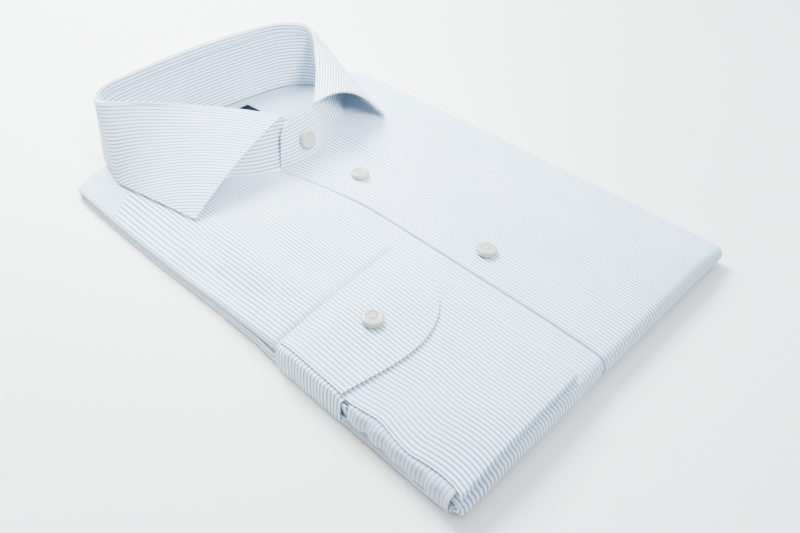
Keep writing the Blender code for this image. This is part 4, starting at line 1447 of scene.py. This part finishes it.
def buttonhole_lines(x, y, along_x, half_length, lift):
    """Both rows and both ends of a buttonhole."""
    rows = [((-half_length, side), (half_length, side))
            for side in (-HOLE_HALF_WIDTH, HOLE_HALF_WIDTH)]
    rows += [((end, -HOLE_BAR), (end, HOLE_BAR)) for end in (-half_length, half_length)]
    if not along_x:
        rows = [[(b, a) for a, b in row] for row in rows]
    return [[on_stack(x + a, y + b, lift) for a, b in row] for row in rows]


def cuff_line(inset):
    """A line beside the cuff's sleeve edge, where the sleeve is set into it."""
    share = 1 - inset / CUFF_DEPTH
    places = spread(*CUFF_LINE_ENDS, 30)
    return [on_stack(cuff_x(share, y), y, CUFF_UNDER + LOW_LIFT) for y in places]


leaf_stitches = sew("collar_leaf_stitches", [leaf_line(LEAF_INSET)], collar_leaf, SEAM_THREAD)
band_count = len(band_sections())
band_stitches = sew(
    "collar_band_stitches",
    [band_line(BAND_SEAM_SHARE, 6, band_count - 1),
     band_line(BAND_TOP_SHARE, band_count - 25, -6)],
    collar_band, SEAM_THREAD)
yoke_stitches = sew(
    "yoke_stitches",
    [seam_line(YOKE_EDGE, low, high, YOKE_INSET) for low, high in ((-112, -80), (77, 112))],
    yoke, FINE_THREAD)
front_holes = []
for name, x, y in FRONT_BUTTONS:
    front_holes += buttonhole_lines(x, y, False, FRONT_HOLE_REACH, LOW_LIFT)
hole_stitches = sew("front_buttonhole_stitches", front_holes, front_left, HOLE_THREAD)
cuff_stitches = sew("cuff_stitches", [cuff_line(CUFF_INSET)], cuff, FINE_THREAD)
cuff_hole_stitches = sew(
    "cuff_buttonhole_stitches",
    buttonhole_lines(*CUFF_BUTTON, True, CUFF_HOLE_REACH, CUFF_OVER + LOW_LIFT), cuff, HOLE_THREAD)

# %% [markdown]
# ## Light and floor
# Soft studio light comes from above and behind, so the near sides stay darker. A wide lamp and a
# bright dome do that, and a small lamp lifts the collar. A picture of a studio would light it as
# well, but its colours are harder to steer. The floor is a plain pale sheet.

# %% Light and floor
DOME_TOP = (0.42, 0.36, 0.835)
FLOOR_REACH = 6.0
FLOOR_Z = -0.0002


def make_floor():
    mesh = bpy.data.meshes.new("floor")
    corners = ((-1, -1), (1, -1), (1, 1), (-1, 1))
    mesh.from_pydata([(x * FLOOR_REACH, y * FLOOR_REACH, FLOOR_Z) for x, y in corners],
                     [], [(0, 1, 2, 3)])
    floor = put_in_scene("floor", mesh)
    material, flow = new_material("floor")
    grain = flow.noise(flow.make("ShaderNodeTexCoord", output=3), 40.0, 2.0)
    mesh.materials.append(feed(
        material, Base_Color=grain.blend((0.97, 0.865, 0.765, 1.0), (0.98, 0.875, 0.775, 1.0)),
        Roughness=0.9))
    return floor


def make_light(name, place, target, size, power, spread_angle, color):
    data = bpy.data.lights.new(name, "AREA")
    data.shape = "DISK"
    data.size = size
    data.energy = power
    data.spread = math.radians(spread_angle)
    data.color = color
    light = put_in_scene(name, data)
    light.location = place
    light.rotation_euler = (Vector(target) - Vector(place)).to_track_quat("-Z", "Y").to_euler()


def make_world(low, high):
    """A soft dome of light, bright above and behind and darker in front and below."""
    world = bpy.data.worlds.new("studio")
    world.use_nodes = True
    flow = Flow(world.node_tree)
    direction = flow.make("ShaderNodeTexCoord", output=0)
    towards = flow.make(
        "ShaderNodeVectorMath", {0: direction, 1: DOME_TOP}, output=1, operation="DOT_PRODUCT")
    dome = towards.ramp(0.0, 1.0).blend(low, high)
    background = world.node_tree.nodes["Background"]
    world.node_tree.links.new(dome.socket, background.inputs["Color"])
    background.inputs["Strength"].default_value = 1.0
    bpy.context.scene.world = world


floor = make_floor()
make_light("overhead", (0.12, 0.62, 0.68), (0.0, 0.0, 0.0), 0.45, 44.0, 180, (0.81, 0.925, 1.0))
make_light("collar", (-0.08, -0.40, 0.52), (0.01, 0.12, 0.03), 0.22, 0.7, 34, (0.86, 0.94, 1.0))
make_world((0.10, 0.12, 0.14, 1.0), (2.68, 3.36, 4.14, 1.0))
print("lights:", [thing.name for thing in bpy.data.objects if thing.type == "LIGHT"])
